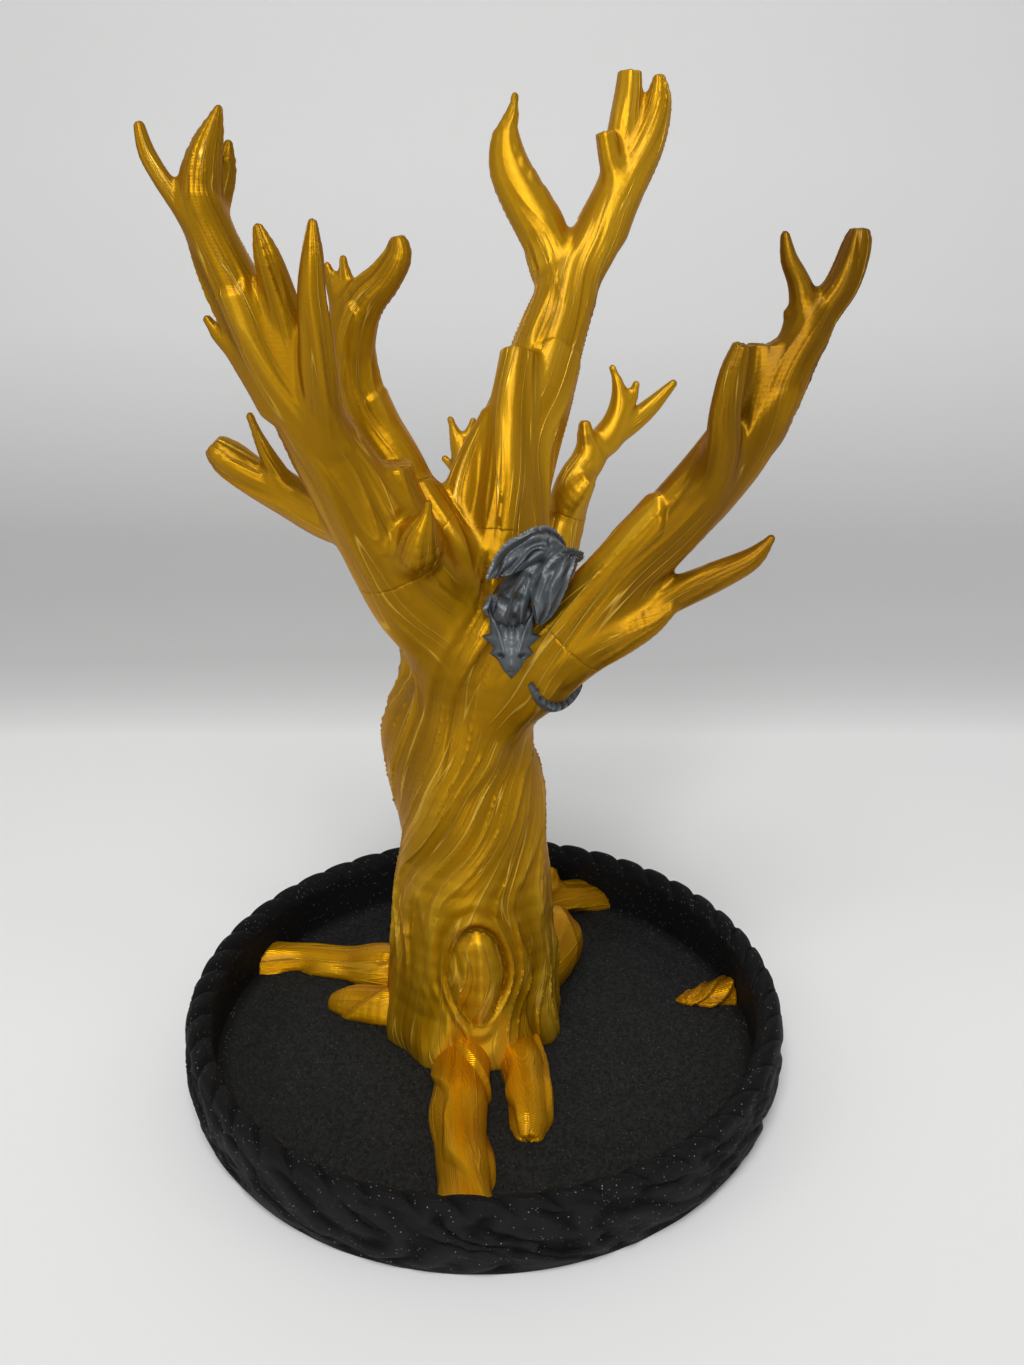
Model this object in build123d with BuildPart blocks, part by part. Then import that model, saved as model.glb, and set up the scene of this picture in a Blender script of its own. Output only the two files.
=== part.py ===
"""Jewelry tree: a fluted tree with seated limbs on a round tray, with a small dragon in its fork.

All sizes are millimetres. The origin is the centre of the tray's flat underside, +Z is up, and the
front of the tree faces -Y. Wood is given as runs of (x, y, height, radius), where height is measured
from the tray's floor. Each run is skinned with flat facets over ridged outlines, and on the trunk these
turn slowly, as bark does. The tray is skinned over rings in the same way, so that its rim has slanted
lumps and its wall a low relief.
"""
from build123d import *
from math import cos, dist, inf, pi, radians, sin
import os

# Tray
TRAY_RADIUS = 80.0
TRAY_HEIGHT = 21.0
TRAY_FOOT_IN = 3.0
TRAY_RIM_IN = 1.0
BULGE_HEIGHT = 12.0
WALL = 6.5
FLOOR = 4.0
LUMPS = 48
LUMP_HEIGHT = 1.4
LUMP_SLANT = 6.0  # degrees from the outside of the wall to its inside
WAVES = 16
WAVE_DEPTH = 0.5
WAVE_SLANT = 2.2  # degrees round the tray for each millimetre of height

# Tree
FOOT_RADIUS = 24.0
TRUNK_RIDGES = 12
TRUNK_RIDGE_SHARE = 0.04
TRUNK_TURN = 0.9  # degrees for each millimetre of height
LIMB_TURN = 0.5
TRUNK_SKIRT = 2
TRUNK_NECK = 8
LIMB_RIDGES = 6
TWIG_RIDGES = 4
RIDGE_SHARE = 0.09
STATION = 7.0

# Joints
FIT = 0.15
END_GAP = 0.3
LIMB_SEAT = 2
PEG_RADIUS = 4.4
PEG_LENGTH = 8.0
THIN_PEG_RADIUS = 3.0
THIN_PEG_LENGTH = 6.0
SPIGOT_RADIUS = 14.0
SPIGOT_FLAT = 11.0
SPIGOT_LENGTH = 2.4
ROOT_PEG_RADIUS = 2.0
ROOT_PEG_LENGTH = 2.2
WALL_GAP = 0.2

# Knot on the front of the trunk
KNOT_HEIGHT = 28.0
KNOT_WIDTH = 11.0
KNOT_TALL = 23.0
KNOT_GROOVE = 1.7
KNOT_DEPTH = 1.2

# Dragon
DRAGON_RIDGES = 5
HEAD_LENGTH = 14.4
HEAD_HALF_WIDTH = 6.4
HEAD_THICKNESS = 3.2
HEAD_TILT = 18.0
HEAD_TAPER = 12.0
DRAGON_PEG_RADIUS = 1.6
DRAGON_PEG_LENGTH = 9.0
TAIL_WIDE = 2.8
TAIL_THICK = 2.2
TAIL_GAP = 0.25
TAIL_ALONG = 0.3
TAIL_RING = 12.0
TAIL_START = -75.0
TAIL_SWEEP = 200.0
TAIL_STEPS = 14

# Runs of wood
TRUNK = [
    (-4, 8, 0, FOOT_RADIUS),
    (-4, 8, 9, FOOT_RADIUS - 0.3),
    (-3.4, 8, 24, 22.4),
    (-3.2, 8, 42, 20.9),
    (-2.8, 8, 55, 19.4),
    (-3.6, 8, 67, 19.4),
    (-5.6, 8, 78, 18.7),
    (-5.6, 8, 88, 18.2),
    (-4.8, 8, 97, 18.0),
    (-3.4, 8, 107, 19.0),
    (-2, 8, 116, 19.6),
    (-1, 9, 122, 15.5),
    (0, 9, 126, 8.0),
]
LEFT_BOUGH = [
    (-5, 5, 98, 11.5),
    (-9, 1, 115, 12.6),
    (-18, -6, 135, 10.8),
    (-27.5, -12, 154, 8.6),
    (-36, -17, 171, 7.0),
    (-43, -20, 185, 6.0),
    (-48, -22, 197, 5.2),
    (-51, -23, 206, 4.5),
    (-52, -24, 212, 4.1),
    (-50.5, -24, 218, 3.5),
    (-48.3, -24, 223, 2.2),
    (-46.9, -24, 226.4, 0.8),
]
LEFT_TWIGS = [
    [(-51, -23, 205, 2.6), (-54.5, -24, 208.5, 2.1), (-58, -25, 214, 1.6), (-60.7, -25, 219, 1.4),
     (-61.7, -25, 223.4, 0.9)],
    [(-51, -22, 205, 2.8), (-50, -19, 211, 2.8), (-48.2, -18, 216.5, 2.3), (-47, -18, 221, 0.9)],
    [(-34, -17, 168, 4.6), (-35.8, -20, 181, 4.4), (-38.2, -24, 194, 3.2), (-39.6, -26, 201, 2.2),
     (-40.9, -26, 206, 0.8)],
    [(-31, -18, 165, 4.2), (-31, -25, 179, 3.6), (-30.8, -29, 193, 2.5), (-30.1, -30, 201, 1.6),
     (-29.7, -30, 207.2, 0.7)],
    [(-42, -19, 172, 3.0), (-47.7, -20, 182, 2.1), (-51.7, -20, 186.5, 1.5), (-53.5, -20, 189, 0.6)],
    [(-23, -8, 144, 6.6), (-34, -4, 145.6, 5.8), (-43.5, 0, 149, 4.8), (-51.6, 2, 153, 4.3),
     (-57.3, 3, 157, 3.2), (-60.8, 3, 160.3, 1.0)],
    [(-43, -1, 150, 2.8), (-47, -1, 157, 2.0), (-49.5, 0, 162, 1.3), (-51.4, 1, 166.8, 0.6)],
    [(-16.5, -7, 142, 4.4), (-14, -15, 142.6, 4.8), (-12.4, -18.6, 145.8, 3.4), (-10.6, -19, 151, 1.7),
     (-9.9, -19, 154.4, 0.7)],
]
HOOK_BOUGH = [
    (-6, 11, 98, 9.5),
    (-10, 13, 118, 10.2),
    (-18.6, 14.6, 138.6, 7.7),
    (-21.4, 15, 151, 7.8),
    (-25.4, 15, 161, 6.5),
    (-28.4, 14, 171, 5.5),
    (-29.2, 13, 179, 5.0),
    (-28.2, 12, 186, 4.4),
    (-25.6, 11, 191, 3.9),
    (-21.4, 10, 195, 3.5),
    (-18, 9, 199.4, 2.8),
    (-17.4, 9, 202.2, 2.1),
    (-17.8, 9, 204.4, 1.0),
]
HOOK_TWIGS = [
    [(-29.2, 12.4, 181, 3.6), (-31.4, 13, 190, 2.5), (-33.2, 14, 194.8, 1.7), (-34.2, 14, 198.1, 0.6)],
    [(-28.2, 12, 184, 3.3), (-29.6, 13, 192.4, 2.2), (-30.2, 13, 196.6, 1.5), (-30.4, 13, 199.6, 0.6)],
]
CENTRE_BOUGH = [
    (0, 10, 98, 13.0),
    (4, 13.5, 116, 13.6),
    (4.3, 18, 136, 12.2),
    (7.3, 24, 153.7, 10.8),
    (13.2, 31, 169.7, 9.3),
    (18.2, 38, 183.4, 8.2),
    (23, 43, 195, 7.0),
    (28, 45.5, 203, 6.4),
    (32, 47.5, 210.5, 6.0),
    (36, 49, 217.5, 5.4),
    (39.7, 50.5, 224, 4.4),
    (42.2, 52, 230, 3.3),
    (43.6, 52, 235.6, 2.2),
    (43.4, 52, 241, 0.9),
]
CENTRE_TWIGS = [
    [(21, 42, 190, 6.2), (18.5, 44.5, 198, 6.0), (14.6, 46, 206, 5.6), (10.6, 47, 213, 5.1),
     (6.9, 48, 220.6, 4.1), (5.9, 48, 226.6, 2.9), (7.4, 48, 231.8, 1.6), (8, 48, 235.4, 0.5)],
    [(31, 47, 206, 5.0), (33.6, 49.5, 215, 4.7), (34.4, 51, 223.7, 3.9), (35.4, 52, 231, 3.2),
     (36.4, 52, 237.4, 2.9), (36.5, 52, 241.6, 2.0)],
    [(34, 48, 210, 3.0), (32.2, 46.6, 216, 2.6), (30, 46, 222.4, 2.0), (28.8, 46, 227.6, 1.4)],
    [(3.6, 11, 143, 6.2), (5.4, 15.4, 154, 6.4), (8, 20.6, 168, 5.0), (9.4, 24.6, 178.4, 3.8)],
    [(2, 25, 143, 5.0), (-2, 31, 147, 4.0), (-5, 34.6, 151, 3.0), (-6.9, 37, 156, 1.8),
     (-8.4, 38, 160.4, 0.6)],
    [(-4.8, 34.2, 149.6, 2.6), (-4.6, 36.6, 154.6, 1.7), (-2.6, 38, 160, 0.6)],
    [(-3, 31.5, 143.4, 2.4), (-7, 35, 147.8, 1.4), (-10, 37, 150.6, 0.6)],
]
BACK_BOUGH = [
    (6, 13, 98, 9.5),
    (13.6, 25, 118, 7.6),
    (21, 32, 137, 5.0),
    (23, 31, 145, 4.7),
    (26.8, 34, 151, 3.9),
    (31, 37, 155.4, 3.4),
    (36.4, 39, 158.6, 3.0),
    (42.5, 40.5, 163, 2.3),
    (48.5, 41, 169, 1.0),
]
BACK_TWIGS = [
    [(32.4, 37, 155.6, 2.8), (35.6, 38, 161.6, 2.2), (37.8, 38, 166.2, 1.5), (38.7, 38, 169.2, 0.6)],
    [(30.8, 36.6, 155, 3.2), (34, 37.6, 162, 2.6), (34.4, 38, 168, 1.8), (32.6, 38, 173.2, 0.6)],
    [(21.6, 29.6, 140.6, 4.0), (24.6, 27.6, 144, 2.9), (27, 27, 147.4, 1.9)],
    [(27.2, 34, 151, 3.2), (26, 33, 157.4, 2.2), (25.6, 33, 161, 1.2)],
]
RIGHT_BOUGH = [
    (0, 4, 97, 12.5),
    (10.6, -0.6, 107.6, 12.6),
    (21.6, -5, 118.2, 10.6),
    (33, -8, 133, 8.0),
    (42, -10, 144.4, 7.5),
    (50.8, -11, 155.4, 7.2),
    (57.4, -11, 165, 7.0),
    (62.4, -10.5, 173.4, 6.3),
    (67.4, -9.6, 182.2, 5.0),
    (72, -8, 189.4, 3.9),
    (75.8, -8, 194.6, 3.2),
    (78, -8, 199.4, 2.6),
    (78.9, -8, 203.4, 2.1),
    (79, -8, 206.2, 1.2),
]
RIGHT_TWIGS = [
    [(69.4, -8.6, 185, 3.6), (67.2, -8, 194.6, 2.6), (64.4, -8, 200, 1.9), (63.2, -8, 204.4, 1.1)],
    [(52, -12.6, 151, 4.8), (51.2, -18, 162, 4.0), (50.8, -21, 171, 3.4), (51.6, -22.6, 178.6, 2.9),
     (53.4, -23, 184.6, 1.5)],
    [(60, -10.6, 167, 5.6), (60, -9.6, 177, 5.0), (60.4, -9, 183, 3.9)],
    [(66.4, -9, 180.6, 2.4), (65.8, -8.4, 186.2, 1.5), (65, -8, 189.4, 0.6)],
    [(25.4, -6.8, 120.6, 6.2), (34, -9, 123.4, 5.0), (43.4, -11, 128.6, 4.0), (53.4, -13, 134, 3.2),
     (60.4, -14, 138.2, 2.3), (64.2, -14, 142.6, 0.8)],
]

DRAGON_BACK = [(4.2, -14.4, 119, 2.6), (4.6, -13, 126, 4.2), (8.2, -10.4, 133.6, 4.8), (13.4, -9, 137.4, 4.8),
               (18.2, -9, 134.6, 4.3), (20.4, -10.4, 128.6, 3.3), (20, -11.6, 123, 1.8)]
DRAGON_WING = [(19.8, -13, 136, 1.4), (18, -15, 131.6, 3.2), (15.4, -16.6, 126.4, 3.1), (13.2, -17, 121, 0.9)]
DRAGON_NECK = [(13.4, -10, 132, 3.4), (11.6, -15.4, 129.4, 3.1), (9, -18.6, 125.4, 2.9),
               (7.4, -19.6, 120.6, 2.4)]
DRAGON_SNOUT = (7.2, -21.4, 112.6)
DRAGON_PEG = (5.4, -13.4, 122.4)
DRAGON_PEG_WAY = (-0.2, 0.7, -0.7)
# Right half of the head's outline, from snout to brow, in shares of half its width and of its length
HEAD_OUTLINE = [(0, 0), (0.5, 0.26), (0.74, 0.34), (0.62, 0.45), (1, 0.68), (0.74, 0.72), (0.72, 1),
                (0.34, 0.84), (0, 0.86)]

# Roots lie on the tray's floor. Those that reach the wall are placed from its inner face
well_radius = TRAY_RADIUS - TRAY_RIM_IN - WALL


def from_wall(turn, inward, *height_and_radius):
    """Point so far in from the wall's inner face, turn degrees round from +X."""
    reach = well_radius - inward
    return (reach * cos(radians(turn)), reach * sin(radians(turn)), *height_and_radius)


ROOTS = {
    "root_front_long": [(-5.4, -4, 1, 7.6), (-5.7, -16, 1, 7.5), (-5.6, -34, 0.6, 7.1),
                        from_wall(-93.6, 18.4, 0.5, 6.5), from_wall(-91.4, -5, 0.5, 6)],
    "root_front_short": [(8.8, -3, 1, 6), (9.9, -16, 1, 6), (11.6, -28, 0.6, 5.8), (11.8, -37, 0.5, 4.9),
                         (11.4, -42.4, 0.3, 2.4)],
    "root_left_long": [(-14, 21, 0.5, 8), (-29, 24.8, 0.5, 8.1), (-43, 28.6, 0.5, 5.8),
                       from_wall(151.5, 7.6, 0.5, 5.1), from_wall(157.5, -5, 0.5, 5.4)],
    "root_left_short": [(-14, 7, 0.5, 7), (-28, 7.8, 0.5, 7), (-36, 9.2, 0.5, 5.6), (-42, 10.4, 0.3, 3.4),
                        (-44.8, 11, 0.2, 1.2)],
    "root_right": [(6, 16, 5, 9.5), (14, 24, 6, 10.4), (18.6, 33, 5, 10.2), (20.2, 42, 3, 7.6), (20, 48, 1, 3)],
    "root_back": [(-3, 26, 1, 6.8), (-2, 40, 1, 6.6), (6, 53, 2, 6.3), from_wall(72.4, 9.6, 3, 6),
                  from_wall(59, -5, 0.5, 5.2)],
    "root_wall_tip": [from_wall(12.5, 16.2, 0.2, 0.9), from_wall(12.1, 12.8, 0.3, 2.6),
                      from_wall(11.9, 6.5, 0.5, 4.3), from_wall(12.8, -5, 0.5, 5)],
}
ROOT_SPUR = [from_wall(76.9, 15, 4, 5), from_wall(73.7, 6.9, 8, 4.2), from_wall(73.4, 3.4, 12, 2.2)]
ROOT_PEGS = {
    "root_front_long": (-4.6, -44),
    "root_front_short": (11, -30),
    "root_left_long": from_wall(149, 14.2),
    "root_left_short": (-35, 9),
    "root_right": (19, 38),
    "root_back": from_wall(77, 14.5),
    "root_wall_tip": from_wall(12, 5.2),
}

LIMBS = {
    "limb_left": (LEFT_BOUGH, LEFT_TWIGS, PEG_RADIUS, PEG_LENGTH),
    "limb_hook": (HOOK_BOUGH, HOOK_TWIGS, PEG_RADIUS, PEG_LENGTH),
    "limb_centre": (CENTRE_BOUGH, CENTRE_TWIGS, PEG_RADIUS, PEG_LENGTH),
    "limb_back": (BACK_BOUGH, BACK_TWIGS, THIN_PEG_RADIUS, THIN_PEG_LENGTH),
    "limb_right": (RIGHT_BOUGH, RIGHT_TWIGS, PEG_RADIUS, PEG_LENGTH),
}
ACROSS = Vector(0, 1, 0)
UPRIGHT = Vector(0, 0, 1)


def curve(before, start, stop, after, t):
    """Point at t on the Catmull-Rom curve from start to stop, component by component."""
    return tuple(
        0.5 * (2 * b + (c - a) * t + (2 * a - 5 * b + 4 * c - d) * t**2 + (3 * b - a - 3 * c + d) * t**3)
        for a, b, c, d in zip(before, start, stop, after)
    )


def stations(run, side=ACROSS):
    """Spots on a smooth curve through a run: place in the run, plane square to it, and radius."""
    ends = [run[0], *run, run[-1]]
    spots = []
    for i in range(len(run) - 1):
        steps = max(1, round(dist(run[i][:3], run[i + 1][:3]) / STATION))
        spots += [(i + s / steps, curve(*ends[i : i + 4], s / steps)) for s in range(steps)]
    spots.append((len(run) - 1, run[-1]))
    centres = [Vector(x, y, FLOOR + height) for place, (x, y, height, radius) in spots]
    found = []
    for i, (place, spot) in enumerate(spots):
        back, ahead = centres[max(i - 1, 0)], centres[min(i + 1, len(spots) - 1)]
        along = (ahead - back).normalized()
        plane = Plane(origin=centres[i], x_dir=side - along * side.dot(along), z_dir=along)
        found.append((place, plane, spot[3]))
    return found


def skin(rings, mode=Mode.ADD):
    """Close rings of as many corners each with flat three-cornered facets and two flat ends."""
    facets = [Face(Wire.make_polygon(ring)) for ring in (rings[0], rings[-1])]
    for lower, upper in zip(rings, rings[1:]):
        for i in range(len(lower)):
            facets.append(Face(Wire.make_polygon([lower[i - 1], lower[i], upper[i]])))
            facets.append(Face(Wire.make_polygon([lower[i - 1], upper[i], upper[i - 1]])))
    add(Solid(Shell(facets)), mode=mode)


def fluted(run, ridges, first=0, last=inf, side=ACROSS, share=RIDGE_SHARE, turn=LIMB_TURN, mode=Mode.ADD):
    """Skin a run, from its point first to its point last, over outlines with ridges and grooves."""
    rings = []
    for place, plane, radius in stations(run, side):
        if not first <= place <= last:
            continue
        ring = []
        for corner in range(2 * ridges):
            angle = radians(turn * plane.origin.Z) + pi * corner / ridges
            reach = radius * (1 + (share if corner % 2 else -share))
            ring.append(plane.from_local_coords((reach * cos(angle), reach * sin(angle))))
        rings.append(ring)
    skin(rings, mode)


def trunk_bark(first=0, last=inf, mode=Mode.ADD):
    """The trunk's own run, with its turning ridges."""
    fluted(TRUNK, TRUNK_RIDGES, first, last, share=TRUNK_RIDGE_SHARE, turn=TRUNK_TURN, mode=mode)


def seat_peg(run, radius, length, mode=Mode.ADD):
    """Six-sided peg under a limb's seat, or with mode SUBTRACT the socket for it."""
    seat = next(plane for place, plane, wide in stations(run) if place == LIMB_SEAT)
    with BuildSketch(seat) as outline:
        RegularPolygon(radius, 6)
    extrude(outline.sketch, amount=-length, mode=mode)


def tail(gap=0, mode=Mode.ADD):
    """Flat ring of the dragon's tail round the right limb, or with mode SUBTRACT the groove for it."""
    near, far = (Vector(x, y, FLOOR + height) for x, y, height, wide in RIGHT_BOUGH[1:3])
    middle = near + (far - near) * TAIL_ALONG
    along = (far - near).normalized()
    under = (Vector(0, 0, -1) - along * Vector(0, 0, -1).dot(along)).normalized()
    rings = []
    for step in range(TAIL_STEPS + 1):
        out = under.rotate(Axis((0, 0, 0), along), TAIL_START + TAIL_SWEEP * step / TAIL_STEPS)
        inner, outer = TAIL_RING - TAIL_THICK / 2 - gap, TAIL_RING + TAIL_THICK / 2 + gap
        side = along * (TAIL_WIDE / 2 + gap)
        rings.append([middle + out * inner - side, middle + out * outer - side,
                      middle + out * outer + side, middle + out * inner + side])
    skin(rings, mode)


def spigot(radius, flat):
    """Round outline with one flat, so that the tree stands one way round."""
    with BuildSketch(Plane.XY.offset(FLOOR)) as outline:
        with Locations(TRUNK[0][:2]):
            Circle(radius)
            with Locations((flat + radius, 0)):
                Rectangle(2 * radius, 2 * radius, mode=Mode.SUBTRACT)
    return outline.sketch


def dragon_peg(radius, length, mode=Mode.ADD):
    """Round peg that leans back into the trunk, or with mode SUBTRACT the socket for it."""
    x, y, height = DRAGON_PEG
    with BuildSketch(Plane(origin=(x, y, FLOOR + height), z_dir=DRAGON_PEG_WAY)) as outline:
        Circle(radius)
    extrude(outline.sketch, amount=length, mode=mode)


def tray_ring(radius, height, lift=0, relief=0):
    """Ring of the tray with two corners to a lump, every second one lifted, and low slanted waves."""
    ring = []
    for corner in range(2 * LUMPS):
        angle = 180 * corner / LUMPS
        wave = relief * cos(radians(WAVES * angle + WAVES * WAVE_SLANT * height))
        turned = radians(angle + LUMP_SLANT * (TRAY_RADIUS - radius) / WALL)
        reach = radius + wave
        ring.append(Vector(reach * cos(turned), reach * sin(turned), height + lift * (corner % 2)))
    return ring


rim_radius = TRAY_RADIUS - TRAY_RIM_IN
with BuildPart() as tray:
    skin([
        tray_ring(TRAY_RADIUS - TRAY_FOOT_IN, 0),
        tray_ring(TRAY_RADIUS - WAVE_DEPTH - TRAY_FOOT_IN / 5, BULGE_HEIGHT / 2, relief=WAVE_DEPTH),
        tray_ring(TRAY_RADIUS - WAVE_DEPTH, BULGE_HEIGHT, relief=WAVE_DEPTH),
        tray_ring(rim_radius, TRAY_HEIGHT - 2 * LUMP_HEIGHT, lift=LUMP_HEIGHT / 2, relief=WAVE_DEPTH / 2),
        tray_ring(rim_radius - WALL / 4, TRAY_HEIGHT - LUMP_HEIGHT, lift=LUMP_HEIGHT),
        tray_ring(rim_radius - WALL * 3 / 4, TRAY_HEIGHT - LUMP_HEIGHT, lift=LUMP_HEIGHT),
        tray_ring(well_radius, TRAY_HEIGHT - 2 * LUMP_HEIGHT, lift=LUMP_HEIGHT / 2),
        tray_ring(well_radius, FLOOR),
    ])
    extrude(spigot(SPIGOT_RADIUS + FIT, SPIGOT_FLAT + FIT), amount=-SPIGOT_LENGTH - END_GAP, mode=Mode.SUBTRACT)
    with BuildSketch(Plane.XY.offset(FLOOR)):
        with Locations(*ROOT_PEGS.values()):
            Circle(ROOT_PEG_RADIUS + FIT)
    extrude(amount=-ROOT_PEG_LENGTH - END_GAP, mode=Mode.SUBTRACT)

with BuildPart() as trunk:
    trunk_bark()
    for bough, twigs, peg_radius, peg_length in LIMBS.values():
        fluted(bough, LIMB_RIDGES, last=LIMB_SEAT)
    for bough, twigs, peg_radius, peg_length in LIMBS.values():
        seat_peg(bough, peg_radius + FIT, peg_length + END_GAP, mode=Mode.SUBTRACT)
    tail(TAIL_GAP, mode=Mode.SUBTRACT)
    dragon_peg(DRAGON_PEG_RADIUS + FIT, DRAGON_PEG_LENGTH + END_GAP, mode=Mode.SUBTRACT)
    extrude(spigot(SPIGOT_RADIUS, SPIGOT_FLAT), amount=-SPIGOT_LENGTH)
    x, y, height, knot_face = TRUNK[2]
    with BuildSketch(Plane.XZ.offset(FOOT_RADIUS)):
        with Locations((x, FLOOR + KNOT_HEIGHT)):
            Ellipse(KNOT_WIDTH / 2, KNOT_TALL / 2)
            Ellipse(KNOT_WIDTH / 2 - KNOT_GROOVE, KNOT_TALL / 2 - KNOT_GROOVE, mode=Mode.SUBTRACT)
    extrude(amount=knot_face - y - FOOT_RADIUS - KNOT_DEPTH, mode=Mode.SUBTRACT)

limbs = {}
for name, (bough, twigs, peg_radius, peg_length) in LIMBS.items():
    with BuildPart() as limb:
        fluted(bough, LIMB_RIDGES, first=LIMB_SEAT)
        for twig in twigs:
            fluted(twig, TWIG_RIDGES)
        seat_peg(bough, peg_radius, peg_length)
    limbs[name] = limb.part

roots = {}
for name, run in ROOTS.items():
    with BuildPart() as root:
        fluted(run, LIMB_RIDGES, side=UPRIGHT)
        if name == "root_back":
            fluted(ROOT_SPUR, TWIG_RIDGES, side=UPRIGHT)
        split(bisect_by=Plane.XY.offset(FLOOR), keep=Keep.TOP)
        Cylinder(well_radius - WALL_GAP, 2 * TRAY_HEIGHT, align=(Align.CENTER, Align.CENTER, Align.MIN),
                 mode=Mode.INTERSECT)
        trunk_bark(last=TRUNK_SKIRT, mode=Mode.SUBTRACT)
        with BuildSketch(Plane.XY.offset(FLOOR)):
            with Locations(ROOT_PEGS[name]):
                Circle(ROOT_PEG_RADIUS)
        extrude(amount=-ROOT_PEG_LENGTH)
    roots[name] = root.part

with BuildPart() as dragon_tail:
    tail()

with BuildPart() as dragon:
    for run in (DRAGON_BACK, DRAGON_WING, DRAGON_NECK):
        fluted(run, DRAGON_RIDGES)
    x, y, height = DRAGON_SNOUT
    face = Plane(origin=(x, y, FLOOR + height), x_dir=(1, 0, 0),
                 z_dir=(0, -cos(radians(HEAD_TILT)), sin(radians(HEAD_TILT))))
    right = [(HEAD_HALF_WIDTH * across, HEAD_LENGTH * up) for across, up in HEAD_OUTLINE]
    with BuildSketch(face):
        Polygon(*right, *[(-across, up) for across, up in reversed(right[1:-1])], align=None)
    extrude(amount=HEAD_THICKNESS, taper=HEAD_TAPER)
    trunk_bark(first=TRUNK_NECK, mode=Mode.SUBTRACT)
    for bough, twig in ((RIGHT_BOUGH, RIGHT_TWIGS[-1]), (CENTRE_BOUGH, CENTRE_TWIGS[3])):
        fluted(bough, LIMB_RIDGES, last=LIMB_SEAT + 1, mode=Mode.SUBTRACT)
        fluted(twig, TWIG_RIDGES, last=1, mode=Mode.SUBTRACT)
    tail(TAIL_GAP, mode=Mode.SUBTRACT)
    dragon_peg(DRAGON_PEG_RADIUS, DRAGON_PEG_LENGTH)

pieces = {"tray": tray.part, "trunk": trunk.part, **limbs, **roots, "dragon": dragon.part,
          "dragon_tail": dragon_tail.part}
os.makedirs("parts", exist_ok=True)
for name, piece in pieces.items():
    piece.label = name
    export_step(piece, f"parts/{name}.step")
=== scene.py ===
"""Jewelry tree, dressed for the render: bark, roots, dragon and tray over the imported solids.

Sizes are millimetres until a mesh is made, and heights in a run of wood are measured from the tray's
floor, as in the part's source.
"""
import math
from itertools import product

import bpy
import numpy as np
import openvdb
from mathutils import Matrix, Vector


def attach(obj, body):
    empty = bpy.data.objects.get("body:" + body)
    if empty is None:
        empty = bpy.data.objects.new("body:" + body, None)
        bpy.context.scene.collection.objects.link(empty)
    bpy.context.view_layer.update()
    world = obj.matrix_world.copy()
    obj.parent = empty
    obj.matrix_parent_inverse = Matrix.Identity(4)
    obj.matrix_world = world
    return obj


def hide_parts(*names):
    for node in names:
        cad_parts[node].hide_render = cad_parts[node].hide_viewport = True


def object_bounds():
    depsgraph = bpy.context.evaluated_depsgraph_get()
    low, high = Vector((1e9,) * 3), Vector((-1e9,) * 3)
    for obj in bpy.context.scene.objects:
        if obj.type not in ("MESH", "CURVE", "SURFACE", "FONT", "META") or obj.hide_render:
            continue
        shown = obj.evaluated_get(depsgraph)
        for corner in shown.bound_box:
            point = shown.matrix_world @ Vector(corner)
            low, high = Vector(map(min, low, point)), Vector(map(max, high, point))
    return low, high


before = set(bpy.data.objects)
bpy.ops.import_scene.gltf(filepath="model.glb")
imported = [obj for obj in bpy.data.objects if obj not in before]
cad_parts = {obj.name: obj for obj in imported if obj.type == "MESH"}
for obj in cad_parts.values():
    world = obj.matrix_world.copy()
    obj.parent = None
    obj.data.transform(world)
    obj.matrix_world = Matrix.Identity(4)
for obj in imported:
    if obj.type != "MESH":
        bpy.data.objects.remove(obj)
cad_low, cad_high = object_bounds()
MM = 0.001

# Sizes of the part's source, but for the knot and the head's length, which are a little larger here
TRAY_RADIUS = 80.0
TRAY_HEIGHT = 21.0
TRAY_FOOT_IN = 3.0
TRAY_RIM_IN = 1.0
BULGE_HEIGHT = 12.0
WALL = 6.5
FLOOR = 4.0
LUMPS = 48
LUMP_HEIGHT = 1.4
LUMP_SLANT = 6.0
FOOT_RADIUS = 24.0
LIMB_SEAT = 2
WALL_GAP = 0.2
KNOT_AT = (-1.8, 26.4)
KNOT_WIDTH = 15.0
KNOT_TALL = 27.0
HEAD_LENGTH = 15.4
HEAD_HALF_WIDTH = 6.4
HEAD_TILT = 18.0
TAIL_THICK = 2.2
TAIL_ALONG = 0.3
TAIL_RING = 12.0
TAIL_START = -75.0
TAIL_SWEEP = 200.0

# Grids that the forms are carved on, and fillets where they join
TRUNK_GRID = 0.57
LIMB_GRID = 0.42
ROOT_GRID = 0.4
DRAGON_GRID = 0.24
HEAD_GRID = 0.13
FORK_FILLET = 3.4
TWIG_FILLET = 2.2
SEAM_LAP = 0.45
SHARP_EDGE = 48

# Runs of wood as (x, y, height, radius), a little fuller than the part's at some tips, twigs and ridges
TRUNK = [
    (-4, 8, 0, FOOT_RADIUS), (-4, 8, 9, FOOT_RADIUS - 0.3), (-3.4, 8, 24, 22.4), (-3.2, 8, 42, 20.9),
    (-2.8, 8, 55, 19.4), (-3.6, 8, 67, 19.4), (-5.6, 8, 78, 18.7), (-5.6, 8, 88, 18.2), (-4.8, 8, 97, 18),
    (-3.4, 8, 107, 19), (-2, 8, 116, 19.6), (-1, 9, 122, 15.5), (0, 9, 126, 8),
]
LEFT_BOUGH = [
    (-5, 5, 98, 11.5), (-9, 1, 115, 12.6), (-18, -6, 135, 10.8), (-27.5, -12, 154, 8.6), (-36, -17, 171, 7),
    (-43, -20, 185, 6), (-48, -22, 197, 5.2), (-51, -23, 206, 4.5), (-52, -24, 212, 4.1),
    (-50.5, -24, 218, 3.5), (-48.3, -24, 223, 2.2), (-46.9, -24, 226.4, 0.8),
]
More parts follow.
